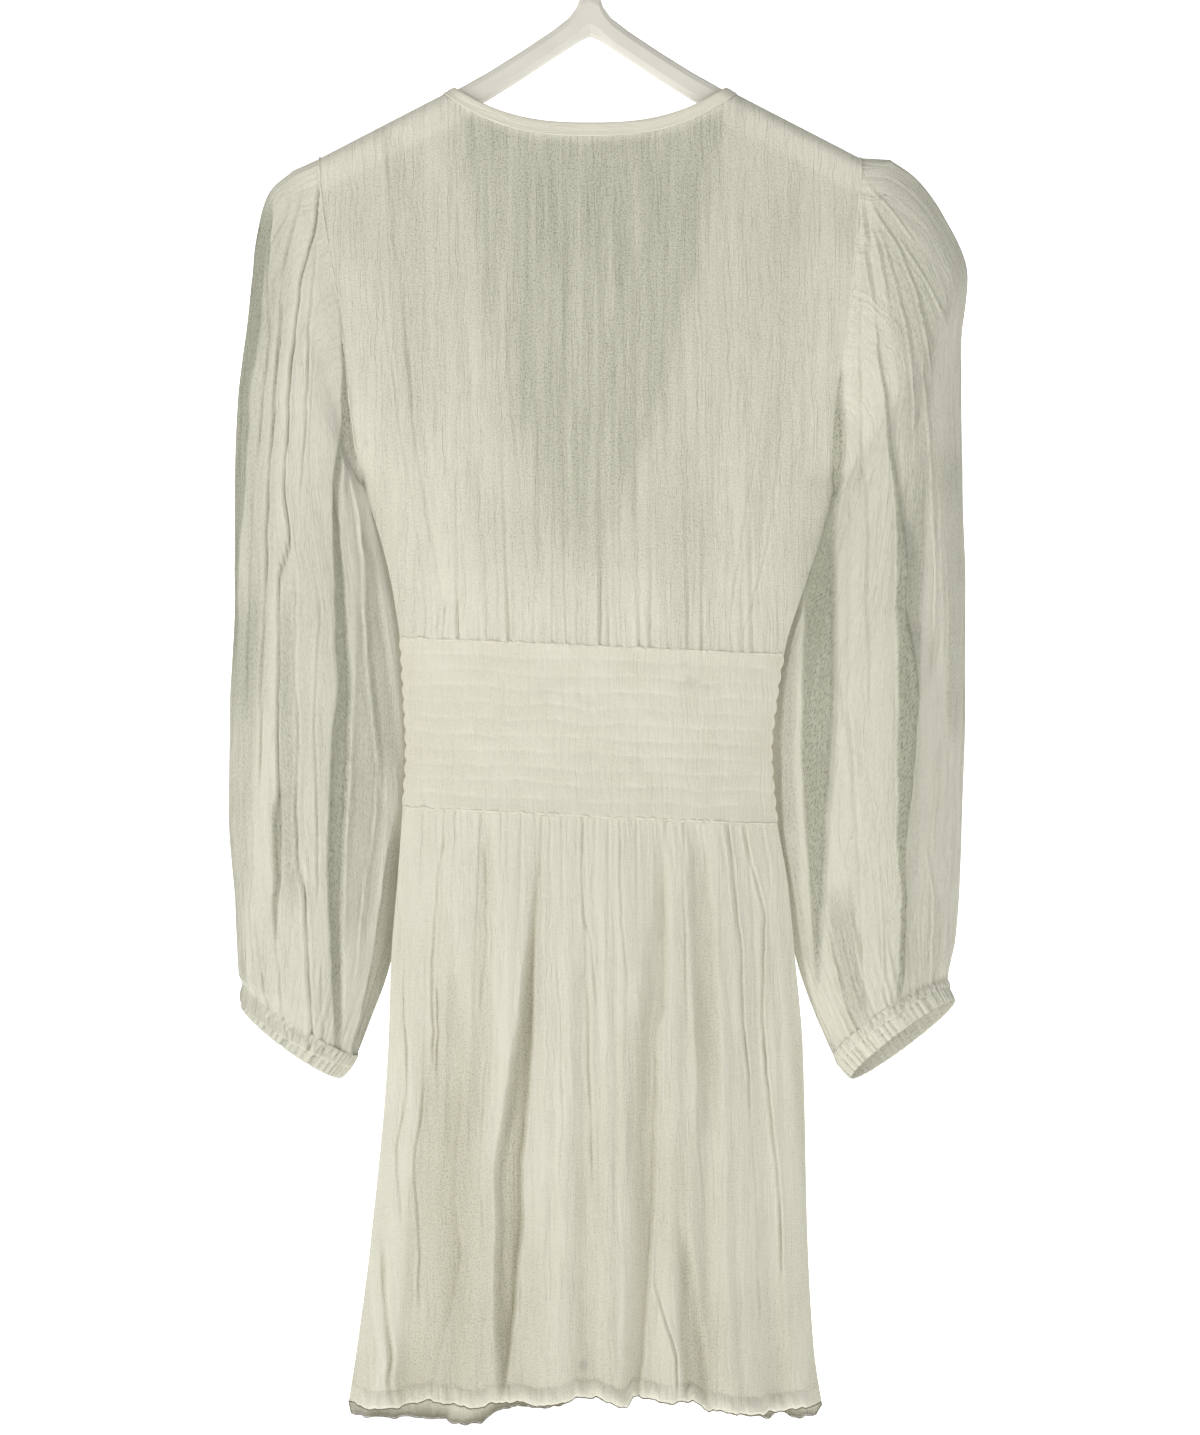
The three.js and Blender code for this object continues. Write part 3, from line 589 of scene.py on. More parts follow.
def back_bodice():
    rows, neck_columns, side_columns = BACK_BODICE_GRID
    v = rows_from_ridge(rows)[:, None]
    bunched = 0.86 * np.pi / 2
    neck = PANEL_NECK_X * np.sin(np.linspace(-1, 1, neck_columns) * bunched) / math.sin(bunched)
    side = np.linspace(PANEL_NECK_X, SHOULDER_X, side_columns)[1:]
    x = np.concatenate([-side[::-1], neck, side])[None, :]
    share = x / SHOULDER_X
    top = np.where(np.abs(x) > PANEL_NECK_X, ridge_drop(x), back_neck_drop(x, -LAP))
    drop = mix(top, waist_top(share) + LAP, v)
    across = share * half_width(drop, share)
    distance = waist_top(share) - drop
    bump = 0.75 * pinches(across, distance, BACK_BODICE_CREASES)
    bump += gathers(across, distance, 7.5, 0.6, 26, 20)
    bump += gathers(across, drop - top, 4.2, 0.35, 16, 24) * (np.abs(x) < PANEL_NECK_X)
    bump += long_folds(across, drop, BACK_FOLDS)
    height, sheer = relief(across, drop, BACK_BODICE_VALLEYS, BACK_BODICE_LINES, 200)
    bump += height
    bump = bump * smooth((distance + LAP) / SEAM_FADE)
    away_from_hanger = smooth((drop - ridge_drop(across) - 18) / 40)
    fine = crinkle(across, drop, 30, 0.35 + 0.65 * away_from_hanger)
    points = body_points(1, across, drop, bump + fine)
    # Painted shade, as seen through the cloth, where only one layer shows between the two fronts.
    ragged = 8 * noise(across / 5, drop / 60, 5) + 4 * noise(across / 30, drop / 24, 7)
    inset = np.where(across > 0, 15, 7 + 10 * smooth(drop / 200))
    v_edge = front_neck_x(np.maximum(drop - 6, 0), 0) - inset + ragged
    inside = smooth((v_edge - np.abs(across)) / 20 + 0.5) * smooth((345 - drop) / 130)
    streaks = 0.4 * noise(across / 2.6, drop / 55, 9) + 0.25 * noise(across / 7, drop / 90, 10)
    inside = inside * (1 + streaks)
    strip = smooth((drop - ridge_drop(across) - 20) / 8)
    # Painted shade: less along the shoulders and towards the waist, more between the fronts and in the
    # valleys.
    thin = 0.01 + 0.17 * strip + 0.3 * inside * smooth((drop - back_neck_drop(x, 0)) / 6)
    thin += sheer + 0.08 * noise(across / 30, drop / 70, 3) - 0.12 * smooth((drop - 285) / 70)
    return mesh_piece("back_bodice", points, GAUZE, "bodice_back", across, drop,
                      np.clip(thin, 0, 1), toward=(0, 1, 0))


FRONT_CREASES = (
    (14, 40, 1.0, 1.2), (27, 110, 1.8, 1.5), (41, 60, 1.2, 1.3), (52, 84, 1.6, 1.4), (66, 45, 1.0, 1.2),
    (79, 120, 1.8, 1.5), (92, 55, 1.2, 1.3), (104, 80, 1.5, 1.5),
)
FRONT_FOLDS = (
    (34, 108, 4, 1.1, 90, 345), (60, 126, 4, 1.0, 60, 350), (86, 142, 5, 1.3, 110, 345),
    (105, 158, 5, 1.0, 150, 345),
)


def front_bodice(hand, name, node):
    rows, columns = FRONT_BODICE_GRID
    v = rows_from_ridge(rows)[:, None]
    u = np.linspace(0, 1, columns)[None, :]
    shoulder = mix(PANEL_NECK_X, SHOULDER_X, u)
    top = ridge_drop(shoulder)
    drop = mix(top, waist_top(hand * u) + LAP, v)
    straight = mix(front_neck_x(drop, -LAP), half_width(drop, hand + 0 * drop), u)
    first = mix(front_neck_x(top, -LAP), half_width(top, hand + 0 * top), u)
    x = straight + (shoulder - first) * (1 - v) ** 3
    distance = waist_top(hand * u) - drop
    bump = pinches(x, distance, FRONT_CREASES)
    bump += gathers(x, distance, 7.0, 0.8, 26, 40 + hand)
    bump += long_folds(x, drop, FRONT_FOLDS)
    bump = bump * smooth((distance + LAP) / SEAM_FADE)
    fine = crinkle(x, drop, 50 + 3 * hand, 1.0)
    points = body_points(-1, hand * x, drop, (bump + fine) * smooth(u * 12 + 0.2))
    # An uneven painted shade, as seen through the cloth.
    thin = 0.28 + 0.12 * noise(x / 30, drop / 70, 6 + hand)
    return mesh_piece(name, points, GAUZE, node, x, drop, np.clip(thin, 0, 1), toward=(0, -1, 0))


def ribbon(name, outer, inner, normal, material, node, profile):
    """A padded band between two edges: profile gives its section as places across and heights."""
    across, height = profile.T
    points = mix(outer[:, None, :], inner[:, None, :], across[None, :, None])
    points = points + normal[:, None, :] * height[None, :, None]
    step = np.linalg.norm(np.diff(mix(outer, inner, 0.5), axis=0), axis=-1)
    along = np.concatenate([[0], np.cumsum(step)])[:, None]
    around = np.arange(points.shape[1])[None, :] * 1.2
    return mesh_piece(name, points, material, node, around, along, 0.02, tube=True)


def loop_section(steps, across_power, height_power):
    """A flat loop with full edges: places across from 0 to 1, and heights."""
    turn = np.linspace(0, 2 * np.pi, steps, endpoint=False)
    across = 0.5 - 0.5 * np.sign(np.cos(turn)) * np.abs(np.cos(turn)) ** across_power
    return across, np.sign(np.sin(turn)) * np.abs(np.sin(turn)) ** height_power


def band_profile(steps, stitch):
    """The section of a folded band, with a shallow channel where it is stitched."""
    across, height = loop_section(steps, 0.7, 0.55)
    return np.stack([across, height * (1 - 0.45 * bell((across - stitch) / 0.07))], axis=-1)


def neck_binding():
    rows, columns = BINDING_GRID
    inset = 1 - (SEAM_GAP * 2) / PANEL_NECK_X
    x = PANEL_NECK_X * np.sin(np.linspace(1, -1, columns)[1:-1] * np.pi / 2)
    outer_x = x * NECK_X / PANEL_NECK_X
    outer_drop = BACK_NECK_DROP * (1 - np.abs(outer_x / NECK_X) ** NECK_CURVE)
    back_outer = body_points(1, outer_x, outer_drop)
    back_inner = body_points(1, x * inset, back_neck_drop(x, 0))
    v = np.concatenate([[0.002, 0.006, 0.012, 0.02, 0.03], np.linspace(0.045, 1, rows)])

    def front(hand):
        outer = NECK_X * (1 - v ** V_CURVE) + SEAM_GAP
        drop = mix(ridge_drop(PANEL_NECK_X), WAIST_TOP - SEAM_GAP, v)
        inner = np.maximum(SEAM_GAP, front_neck_x(drop, -SEAM_GAP))
        return body_points(-1, hand * outer, V_DROP * v), body_points(-1, hand * inner, drop)

    def ridge(hand):
        xs = np.array([hand * NECK_X, hand * PANEL_NECK_X * inset])
        points = np.stack([xs, 0 * xs, -(NECK_BELOW_RAIL + ridge_drop(xs))], axis=-1)
        return points[:1], points[1:]

    left, right = front(1), front(-1)
    left_end, right_end = ridge(1), ridge(-1)
    outer = np.concatenate([left[0][::-1], left_end[0], back_outer, right_end[0], right[0]])
    inner = np.concatenate([left[1][::-1], left_end[1], back_inner, right_end[1], right[1]])
    run = np.gradient(mix(outer, inner, 0.5), axis=0)
    normal = np.cross(inner - outer, run)
    normal /= np.linalg.norm(normal, axis=-1, keepdims=True)
    if normal[len(outer) // 2, 1] < 0:
        normal = -normal
    wobble = 1 + 0.12 * noise(np.arange(len(outer)) / 3.0, 0, 8)
    return ribbon("neck_band", outer, inner, normal * wobble[:, None], BAND, "neck_binding",
                  band_profile(20, 0.7))


# Waistband

# Faint marks on the back: place, drop, size, depth.
WAIST_STAINS = ((29, 388, 7, 0.3), (-64, 382, 6, 0.5), (-61, 370, 3, 0.5), (-2, 396, 3, 0.2))


def waistband(side, name, node):
    rows, columns = WAISTBAND_GRID
    v = np.linspace(0, 1, rows)[:, None]
    u = np.linspace(1, -1, columns)[None, :]
    drop = mix(waist_top(u), waist_bottom(u), v)
    x = u * half_width(drop, u)
    # The rows draw the sides in, so they stand out between the rows.
    scallop = 1.3 * np.abs(np.sin(np.pi * v * SMOCK_ROWS)) - 0.5
    x = x + np.sign(u) * smooth((np.abs(u) - 0.92) / 0.08) * scallop
    row = v * SMOCK_ROWS + 0.2 * noise(x / 24, v * 5, 60) + 0.07 * noise(x / 5, v * 12, 61)
    lane = np.round(row)
    to_stitch = (row - lane) / 0.17
    sewn = np.clip(0.62 + 0.6 * noise(x / 9 + 7.3 * lane, lane * 2.3, 67), 0.1, 1)
    sewn = np.where((lane == 0) | (lane == SMOCK_ROWS), 1, sewn)
    channel = bell(to_stitch)
    below = bell((to_stitch - 1.5) / 1.1)
    pucker = noise(x / 2.1 + 13.7 * lane, lane * 3.1, 62)
    pucker = pucker + 0.6 * noise(x / 1.2 + 5.1 * lane, lane * 1.7, 63)
    fine = noise(x / 1.8, drop / 5, 68) + 0.6 * noise(x / 3.4, drop / 9, 69)
    puff = np.abs(np.sin(np.pi * row)) ** 0.7
    height = 0.16 * puff - 0.15 * channel * sewn + 0.06 * below * sewn
    height += 0.12 * pucker * (channel + 0.3) + 0.06 * fine + 0.28 * noise(x / 16, v * 9, 65)
    edge = np.minimum(v, 1 - v) * SMOCK_ROWS
    height += 0.3 * bell(edge / 0.35)
    points = body_points(side, x, drop, height)
    stain = 0 * height
    if side > 0:
        for place, level, size, depth in WAIST_STAINS:
            far = np.hypot((x - place) / size, (drop - level) / (size * 0.6))
            stain += depth * bell(far) * (0.7 + 0.5 * noise(x / 2, drop / 2, 66))
    # A little painted shade, less of it along the stitched rows.
    thin = 0.08 - 0.06 * channel * sewn + 0.04 * noise(x / 12, v * 8, 59)
    return mesh_piece(name, points, BAND, node, x, drop, thin, np.clip(stain, 0, 1),
                      toward=(0, side, 0))


# Skirt

BACK_SKIRT_CREASES = (
    (106, 60, 1.5, 1.6), (92.8, 95, 1.7, 1.4), (85, 60, 1.3, 1.3), (69, 110, 1.8, 1.4),
    (56, 40, 1.0, 1.2), (43.5, 78, 1.5, 1.3), (30.7, 90, 1.6, 1.3), (25, 50, 1.1, 1.1),
    (18, 60, 1.2, 1.2), (4.5, 150, 2.1, 1.5), (-4, 40, 0.9, 1.2), (-12, 105, 1.7, 1.3),
    (-19, 70, 1.4, 1.3), (-30, 92, 1.5, 1.3), (-40, 40, 0.9, 1.2), (-48.6, 115, 1.7, 1.4),
    (-59.5, 85, 1.5, 1.3), (-71, 50, 1.1, 1.2), (-87.7, 130, 2.2, 1.6), (-98.6, 105, 2.0, 1.5),
    (-110, 55, 1.3, 1.4),
)
FRONT_SKIRT_CREASES = (
    (108, 70, 1.4, 1.5), (97, 45, 1.2, 1.3), (84, 120, 1.9, 1.5), (70, 60, 1.3, 1.3), (61, 88, 1.6, 1.3),
    (48, 55, 1.2, 1.2), (37, 110, 1.8, 1.4), (26, 64, 1.2, 1.3), (12, 95, 1.6, 1.4), (2, 50, 1.1, 1.2),
    (-9, 130, 2.0, 1.5), (-22, 60, 1.3, 1.3), (-33, 98, 1.6, 1.3), (-45, 48, 1.1, 1.2),
    (-57, 118, 1.8, 1.4), (-69, 66, 1.3, 1.3), (-80, 90, 1.6, 1.4), (-93, 52, 1.2, 1.3),
    (-105, 84, 1.5, 1.5),
)
# The main troughs: share at the waist and hem, half width as a share, depth at the hem, how far the
# trough leans to one side.
BACK_TROUGHS = (
    (0.79, 0.78, 0.07, 5, 0.3), (0.57, 0.55, 0.08, 5, -0.3), (0.25, 0.31, 0.1, 7, 0.55),
    (0.04, 0.0, 0.07, 5, 0.2), (-0.39, -0.26, 0.09, 6, -0.5), (-0.56, -0.52, 0.06, 5, 0.3),
    (-0.77, -0.82, 0.07, 5, 0.0),
)
FRONT_TROUGHS = (
    (0.8, 0.82, 0.07, 5, 0.2), (0.5, 0.58, 0.09, 8, -0.4), (0.22, 0.24, 0.07, 5, 0.3),
    (-0.08, -0.06, 0.1, 8, 0.4), (-0.35, -0.4, 0.07, 5, -0.2), (-0.62, -0.66, 0.09, 7, 0.4),
    (-0.84, -0.88, 0.06, 4, 0.0),
)
# Softer folds between the troughs: share at the waist and hem, half width, depth, fall of both ends.
SOFT_FOLDS = (
    (0.9, 0.92, 0.03, 1.5, 0.1, 0.8), (0.68, 0.67, 0.026, 1.3, 0.0, 0.6),
    (0.44, 0.46, 0.03, 1.6, 0.1, 1.0), (0.36, 0.41, 0.024, 1.1, 0.0, 0.7),
    (0.14, 0.19, 0.03, 1.5, 0.05, 0.9), (-0.03, -0.06, 0.024, 1.2, 0.1, 0.75),
    (-0.12, -0.13, 0.03, 1.5, 0.0, 0.95), (-0.2, -0.17, 0.024, 1.1, 0.15, 0.9),
    (-0.3, -0.22, 0.024, 1.2, 0.0, 0.6), (-0.48, -0.4, 0.03, 1.5, 0.05, 0.9),
    (-0.66, -0.67, 0.03, 1.4, 0.1, 1.0), (-0.88, -0.93, 0.03, 1.5, 0.0, 0.8),
)
BACK_SKIRT_VALLEYS = make_valleys(
    (8, 0.37, (2.5, 6),
     ((500, 31), (548, 34.6), (586, 35.8), (639, 38.4), (700, 42.9), (728, 43.5), (778, 46.7),
      (817, 51.8), (842, 56)),
     ((506, 33), (548, 38.4), (586, 43.5), (639, 51), (700, 59), (778, 59), (817, 58), (840, 57))),
    (5.5, 0.1, (2.5, 12),
     ((474, -48), (522, -49), (583, -49), (612, -43.5), (675, -43), (710, -41), (737, -39.7),
      (808, -35), (850, -30)),
     ((474, -47), (522, -43), (583, -35), (612, -32), (675, -29), (737, -30), (808, -25),
      (836, -24))),
    (4.5, 0.24, (6, 3),
     ((740, -64), (778, -68.5), (808, -73), (850, -75)),
     ((750, -57), (836, -59))),
    (3.5, 0.1, (2.5, 16),
     ((640, 80), (710, 85), (746, 82), (772, 85), (808, 94), (850, 103)),
     ((657, 90), (710, 100), (772, 104), (808, 115), (837, 124))),
    (3, 0.2, (10, 7), ((600, -165), (860, -165)), ((620, -131), (700, -137), (760, -142))),
    (3, 0.16, (7, 8), ((600, 133), (700, 139), (770, 146), (860, 154)), ((600, 170), (860, 175))),
    (1.2, 0.2, (14, 14),
     ((560, 88), (640, 72), (760, 60), (860, 60)),
     ((560, 90), (640, 106), (760, 118), (860, 124))),
    (2.4, 0.14, (5, 4),
     ((480, -76), (540, -79), (600, -82), (660, -84)),
     ((480, -64), (540, -66), (660, -70))),
    (2.2, 0.12, (3, 7), ((480, 62), (560, 61), (660, 63)), ((480, 69), (560, 72), (660, 75))),
)
BACK_SKIRT_LINES = make_creases(
    (1.8, 1.2, (767, -42), (787, -48), (808, -54), (840, -56)),
    (2.0, 1.2, (474, -88), (532, -93.4), (566, -97.3), (586, -97.3), (639, -101.8), (663, -103)),
    (2.2, 1.3, (474, -98), (497, -102.4), (532, -110.7), (591, -110.7), (675, -117.8), (737, -123),
     (760, -124)),
    (1.6, 1.3, (471, 91.5), (515, 98.6), (583, 101), (625, 99.8)),
    (1.7, 1.2, (573, 119.7), (639, 117), (685, 123.5), (728, 121.6)),
    (1.4, 1.1, (575, 98), (645, 97)),
    (1.7, 1.2, (640, 106), (700, 112), (746, 109.4), (780, 110)),
    (1.4, 1.3, (481, 68.5), (540, 66), (590, 70)),
    (1.7, 1.2, (471, 5), (532, 3.8), (548, -1.3), (590, -4.5)),
    (1.2, 1.1, (580, 1.3), (700, -2)),
    (1.3, 1.1, (471, -19), (532, -20.5), (575, -24)),
    (1.3, 1.2, (471, -60), (600, -62)),
    (3.2, 2.2, (750, 133), (790, 131.8), (815, 127.4), (829, 129.3), (845, 127.4)),
    (-1.6, 3.0, (750, 140), (790, 138), (815, 133), (829, 136), (845, 138)),
    (1.0, 1.1, (600, -68), (680, -70), (720, -74)),
    (1.0, 1.1, (560, 20), (640, 17), (700, 19)),
    (0.9, 1.1, (620, 66), (700, 70), (740, 68)),
    (0.9, 1.1, (680, -104), (740, -108), (790, -108)),
)
FRONT_SKIRT_VALLEYS = make_valleys(
    (8, 0.3, (5, 2.5),
     ((520, -24), (600, -31), (700, -38), (780, -37), (845, -40)),
     ((510, -20), (600, -22), (700, -24), (780, -27), (838, -33))),
    (7, 0.3, (2.5, 10),
     ((540, 58), (620, 63), (700, 66), (780, 72), (850, 75)),
     ((540, 66), (620, 74), (700, 80), (850, 88))),
    (4, 0.2, (4, 5),
     ((600, -108), (700, -114), (850, -122)),
     ((600, -98), (700, -102), (850, -108))),
    (3, 0.16, (7, 8), ((600, 133), (770, 146), (860, 154)), ((600, 170), (860, 175))),
    (3, 0.2, (10, 7), ((600, -165), (860, -165)), ((620, -131), (760, -142))),
)
FRONT_SKIRT_LINES = make_creases(
    (2.0, 1.2, (474, 84), (560, 90), (640, 97), (700, 99)),
    (1.6, 1.2, (474, 37), (560, 41), (640, 40)),
    (1.8, 1.2, (474, -9), (540, -6), (620, -10), (690, -9)),
    (1.6, 1.2, (474, -57), (600, -66), (700, -68)),
    (1.4, 1.1, (500, 12), (620, 15), (720, 12)),
    (1.4, 1.1, (560, -84), (660, -90), (740, -89)),
    (1.2, 1.1, (620, 112), (720, 118), (800, 118)),
    (1.2, 1.1, (640, 34), (740, 37), (810, 34)),
)
BACK_SKIRT = SkirtLook(
    HEM_BACK, BACK_SKIRT_CREASES, BACK_TROUGHS, BACK_SKIRT_VALLEYS, BACK_SKIRT_LINES)
FRONT_SKIRT = SkirtLook(
    HEM_FRONT, FRONT_SKIRT_CREASES, FRONT_TROUGHS, FRONT_SKIRT_VALLEYS, FRONT_SKIRT_LINES)


def skirt_surface(side, u, fall):
    """Points of the skirt at shares across and down, with what the materials need."""
    look = BACK_SKIRT if side > 0 else FRONT_SKIRT
    hem = look.hem(u)
    wave = 0.8 * noise(u * 13, 0, 70 + side) + 1.1 * noise(u * 34, 0, 72 + side)
    wave += 0.6 * noise(u * 70, 0, 73 + side)
    top = waist_bottom(u) - LAP
    drop = mix(top, hem + wave * smooth((fall - 0.8) / 0.2), fall)
    x = u * half_width(drop, u)
    distance = drop - top
    bump = 0.5 * pinches(u * HALF_WAIST, distance, look.pinched)
    bump += gathers(u * HALF_WAIST, distance, 6.4, 0.35, 30, 74 + side)
    bump = bump * smooth(distance / SEAM_FADE)
    # Painted shade in the main troughs, more where they are deep and lower down.
    trough_shade = 0
    for waist, low, width, depth, lean in look.troughs:
        away = (u - mix(waist, low, fall)) / width
        trough_shade = trough_shade + 0.012 * depth * smooth(fall * 2) * bell(away)
        away = away * np.where(away * lean > 0, 1 + abs(lean), 1 - 0.35 * abs(lean))
        bump -= depth * np.minimum(1, 0.12 + fall) * bell(away)
    for waist, low, width, depth, start, end in SOFT_FOLDS:
        away = (u * side - mix(waist, low, fall)) / width
        ends = smooth((fall - start) / 0.25) * smooth((end - fall) / 0.25 + 0.5)
        bump -= depth * ends * bell(away)
    bump += 1.2 * noise(u * 11, fall * 2.2, 76 + side) * smooth(fall * 3)
    settled = 0.5 + 0.5 * smooth(distance / 130)
    bump += crinkle(x, drop, 80 + 4 * side, 1.1) * settled
    height, sheer = relief(x, drop, look.valleys, look.lines, 210 + side, settled)
    bump += height
    # The turned-up hem, a little proud of the panel and puckered by its stitching.
    from_hem = (1 - fall) * (hem - WAIST_BOTTOM)
    pucker = noise(x / 3.2, 0, 86 + side) + 0.8 * noise(x / 7, 0, 88 + side)
    roll = np.clip(1 - ((from_hem - 4.5) / 7) ** 2, 0, 1) ** 1.5
    bump += 2.2 * roll + 1.1 * pucker * roll - 1.6 * np.clip(1 - from_hem / 1.8, 0, 1) ** 2
    stitch = bell((from_hem - HEM_TURN) / 1.4)
    bump -= 0.12 * stitch * (0.6 + 0.6 * pucker)
    points = body_points(side, x, drop, bump)
    # Painted shade, as seen through the cloth: uneven, darker towards the hem, in valleys, creases and
    # troughs, less on the doubled hem and more along its stitching.
    thin = 0.1 * noise(x / 16, drop / 120, 90 + side) + 0.17 * fall - 0.02 + sheer + trough_shade
    thin = thin * (1 - 0.5 * smooth((11 - from_hem) / 3)) + 0.06 * stitch
    return points, x, drop, thin


def skirt(side, name, node, grid):
    rows, columns = grid
    panel, hem = np.linspace(0, 0.955, rows - HEM_ROWS), np.linspace(0.958, 1, HEM_ROWS)
    fall = np.concatenate([panel, hem])[:, None]
    u = np.linspace(1, -1, columns)[None, :]
    points, x, drop, thin = skirt_surface(side, u, fall)
    spot = 0
    if side > 0:
        spot = 0.6 * np.exp(-np.hypot((x - 4.2) / 3.2, (drop - 818) / 3.8) ** 3)
    return mesh_piece(name, points, SKIRT_GAUZE, node, x, drop, np.clip(thin, 0, 1), spot,
                      toward=(0, side, 0))


# Sleeves

def section_tracks(rows):
    """A curve for each column of a sleeve's sections, by the section's number."""
    return [track(*enumerate(column, 1)) for column in zip(*rows)]


LEFT_SECTIONS = make_sections(
    (147.2, 255.5, 191, 53, 19, -0.5, 0, 0), (146, 258, 207, 68, 22, -2, -1, 0),
    (143.5, 262, 215, 97, 24, -4, -1.5, 0), (139, 268, 220.5, 150, 25, -7, -2, 0),
    (134, 281, 227, 205, 25, -10, -3, 0), (130, 298, 229, 262, 25, -12, -4, 0),
    (121, 335, 229, 328, 25, -13, -5, 0), (115, 395, 232, 395, 25, -14, -6, 0),
    (116, 468, 233, 464, 25, -14, -6, 0), (122, 530, 229, 524, 24, -13, -6, 1),
    (130, 568, 228, 552, 22, -11, -6, -2), (141, 599, 226.5, 571, 19, -9, -6, -4),
    (150, 622, 216, 577, 16, -8, -8, -6),
)
RIGHT_SECTIONS = make_sections(
    (159, 255.5, 193, 46, 19, -0.5, 0, 0), (158, 258, 210, 58, 22, -2, -1, 0),
    (157, 262, 228, 82, 25, -4, -1.5, 0), (155.5, 268, 243, 122, 26, -7, -2, 0),
    (152, 281, 239, 172, 25, -10, -3, 0), (145, 298, 240, 250, 25, -12, -4, 0),
    (130, 335, 242, 328, 25, -13, -5, 0), (114, 395, 242, 395, 25, -14, -6, 0),
    (115, 464, 240, 464, 25, -14, -6, 0), (124.5, 520, 238, 520, 24, -13, -6, 1),
    (133, 562, 235.5, 550, 22, -11, -6, 3), (145, 596, 233, 561, 20, -9, -6, 6),
    (157.5, 622.5, 226, 574, 17, -8, -8, 8),
)
# Folds of the sleeves as the back shows them: places are distances from the dress's middle.
LEFT_VALLEYS = make_valleys(
    (1.5, 0.67, (4, 16),
     ((75, 203), (129, 210), (171, 214), (200, 219), (259, 222), (300, 226.6), (360, 229)),
     ((75, 245), (360, 245))),
    (1.0, 0.32, (8, 16),
     ((330, 212), (420, 216), (520, 222), (600, 224)),
     ((330, 245), (600, 245))),
    (0.6, 0.26, (10, 16), ((84, 188), (170, 195), (300, 203), (400, 206)), ((84, 245), (400, 245))),
    (4, 0.5, (1.5, 3),
     ((440, 198.4), (473, 198.4), (504, 199), (555, 201)),
     ((445, 199.5), (473, 204.2), (504, 203.5), (526, 203), (555, 202))),
    (4, 0.62, (4, 1.8),
     ((220, 156), (260, 159), (332, 155), (394, 151.5), (436, 154), (493, 157.5), (555, 159),
      (616, 160)),
     ((217, 158.7), (254, 163.2), (300, 163.8), (354, 163.2), (381, 161.3), (436, 166.4),
      (493, 168.3), (555, 165.8), (616, 164.5))),
    (1.5, 0.2, (4, 3),
     ((330, 143), (394, 135), (440, 131), (500, 134), (540, 140)),
     ((330, 149), (394, 149), (440, 153), (500, 156), (540, 156))),
    (1.5, 0.26, (3, 3),
     ((270, 143), (354, 130), (400, 124), (440, 120)),
     ((270, 146), (354, 141), (407, 136), (440, 131))),
    (5, 0.5, (20, 1.8),
     ((475, 90), (625, 90)),
     ((469, 125.4), (508, 131.8), (550, 138.2), (586, 144), (616, 152.3))),
    (0.8, 0.35, (5, 6), ((330, 190), (420, 190), (520, 186)), ((330, 198), (420, 200), (520, 196))),
    (3, 0.55, (2.5, 2.5),
     ((150, 157), (190, 155), (215, 151), (246, 147)),
     ((150, 160), (190, 158.5), (215, 158), (246, 156))),
)
LEFT_LINES = make_creases(
    (2.4, 1.2, (62, 174), (90, 176.6), (125, 185), (154, 188.2), (188, 192), (217, 193.3), (259, 195.2),
     (290, 192), (315, 199), (371, 198.4), (412, 201), (457, 200.3)),
    (1.9, 1.2, (138, 197.8), (163, 199), (217, 203.5), (279, 206.7), (354, 208.6), (394, 211.2),
     (445, 212.5)),
    (1.5, 1.1, (80, 204.2), (129, 207.4), (163, 205.4), (217, 211.8), (240, 213)),
    (1.3, 1.1, (68, 192), (77, 193), (102, 205)),
    (1.5, 1.2, (66, 184), (98, 192), (120, 197)),
    (1.2, 1.1, (110, 176), (160, 180), (210, 181), (260, 184)),
    (1.5, 1.3, (320, 188.2), (371, 188.8), (412, 186.9), (457, 188.8), (493, 187.5), (524, 182)),
    (2.6, 1.5, (505, 184), (524, 181.8), (565, 180.5), (595, 179.8), (628, 180.5)),
    (-1.5, 1.6, (255, 160.6), (332, 155.5), (394, 152), (440, 153.5), (500, 157)),
    (-1.4, 1.5, (253, 152.3), (279, 147.2), (354, 143), (407, 138), (450, 133)),
    (-1.1, 1.2, (450, 135.7), (483, 138.2), (514, 144), (541, 147.2), (570, 150)),
    (1.3, 1.1, (540, 214), (570, 212), (600, 206)),
    (1.3, 1.1, (560, 200), (590, 199), (612, 194)),
    (1.2, 1.1, (560, 172), (600, 173), (622, 171)),
    (1.0, 1.0, (470, 217), (520, 219), (560, 217)),
    (1.2, 1.1, (250, 216), (330, 219), (400, 221)),
    (1.1, 1.1, (330, 173), (430, 176), (520, 174)),
)
RIGHT_VALLEYS = make_valleys(
    (4, 0.94, (5, 2.5),
     ((150, 160), (206, 155), (237, 153.6), (258, 158), (279, 147), (314, 139.5), (412, 136.3),
      (473, 138.2), (524, 142.7), (575, 146)),
     ((132, 163.8), (183, 161.9), (258, 161.9), (279, 158.7), (355, 156.8), (433, 154.9),
      (473, 151), (524, 149.8), (561, 148.5))),
    (6, 0.85, (1.5, 2.2),
     ((150, 182.4), (196, 187), (237, 192), (268, 195.2), (330, 196.5), (473, 195.8), (514, 198.4),
      (565, 197.8), (597, 193.3)),
     ((150, 183), (196, 189.4), (237, 195.5), (268, 199), (305, 203), (330, 203), (392, 210),
      (428, 208), (473, 203), (565, 201.6), (597, 197.8))),
    (1, 0.41, (5, 3),
     ((253, 200), (355, 203), (410, 210)),
     ((253, 215), (305, 213.8), (355, 212.5), (400, 212))),
    (0.6, 0.22, (8, 16),
     ((60, 180), (108, 187), (154, 192), (237, 202), (262, 208)),
     ((60, 260), (262, 260))),
    (0.8, 0.34, (4, 12),
     ((240, 221), (305, 225), (355, 227), (420, 232)),
     ((240, 260), (420, 260))),
    (0.5, 0.4, (4, 5),
     ((300, 90), (570, 90)),
     ((290, 146), (340, 134), (420, 131), (500, 135), (560, 142))),
    (1, 0.44, (4, 5), ((520, 152), (560, 157), (610, 170)), ((520, 168), (560, 171), (610, 184))),
)
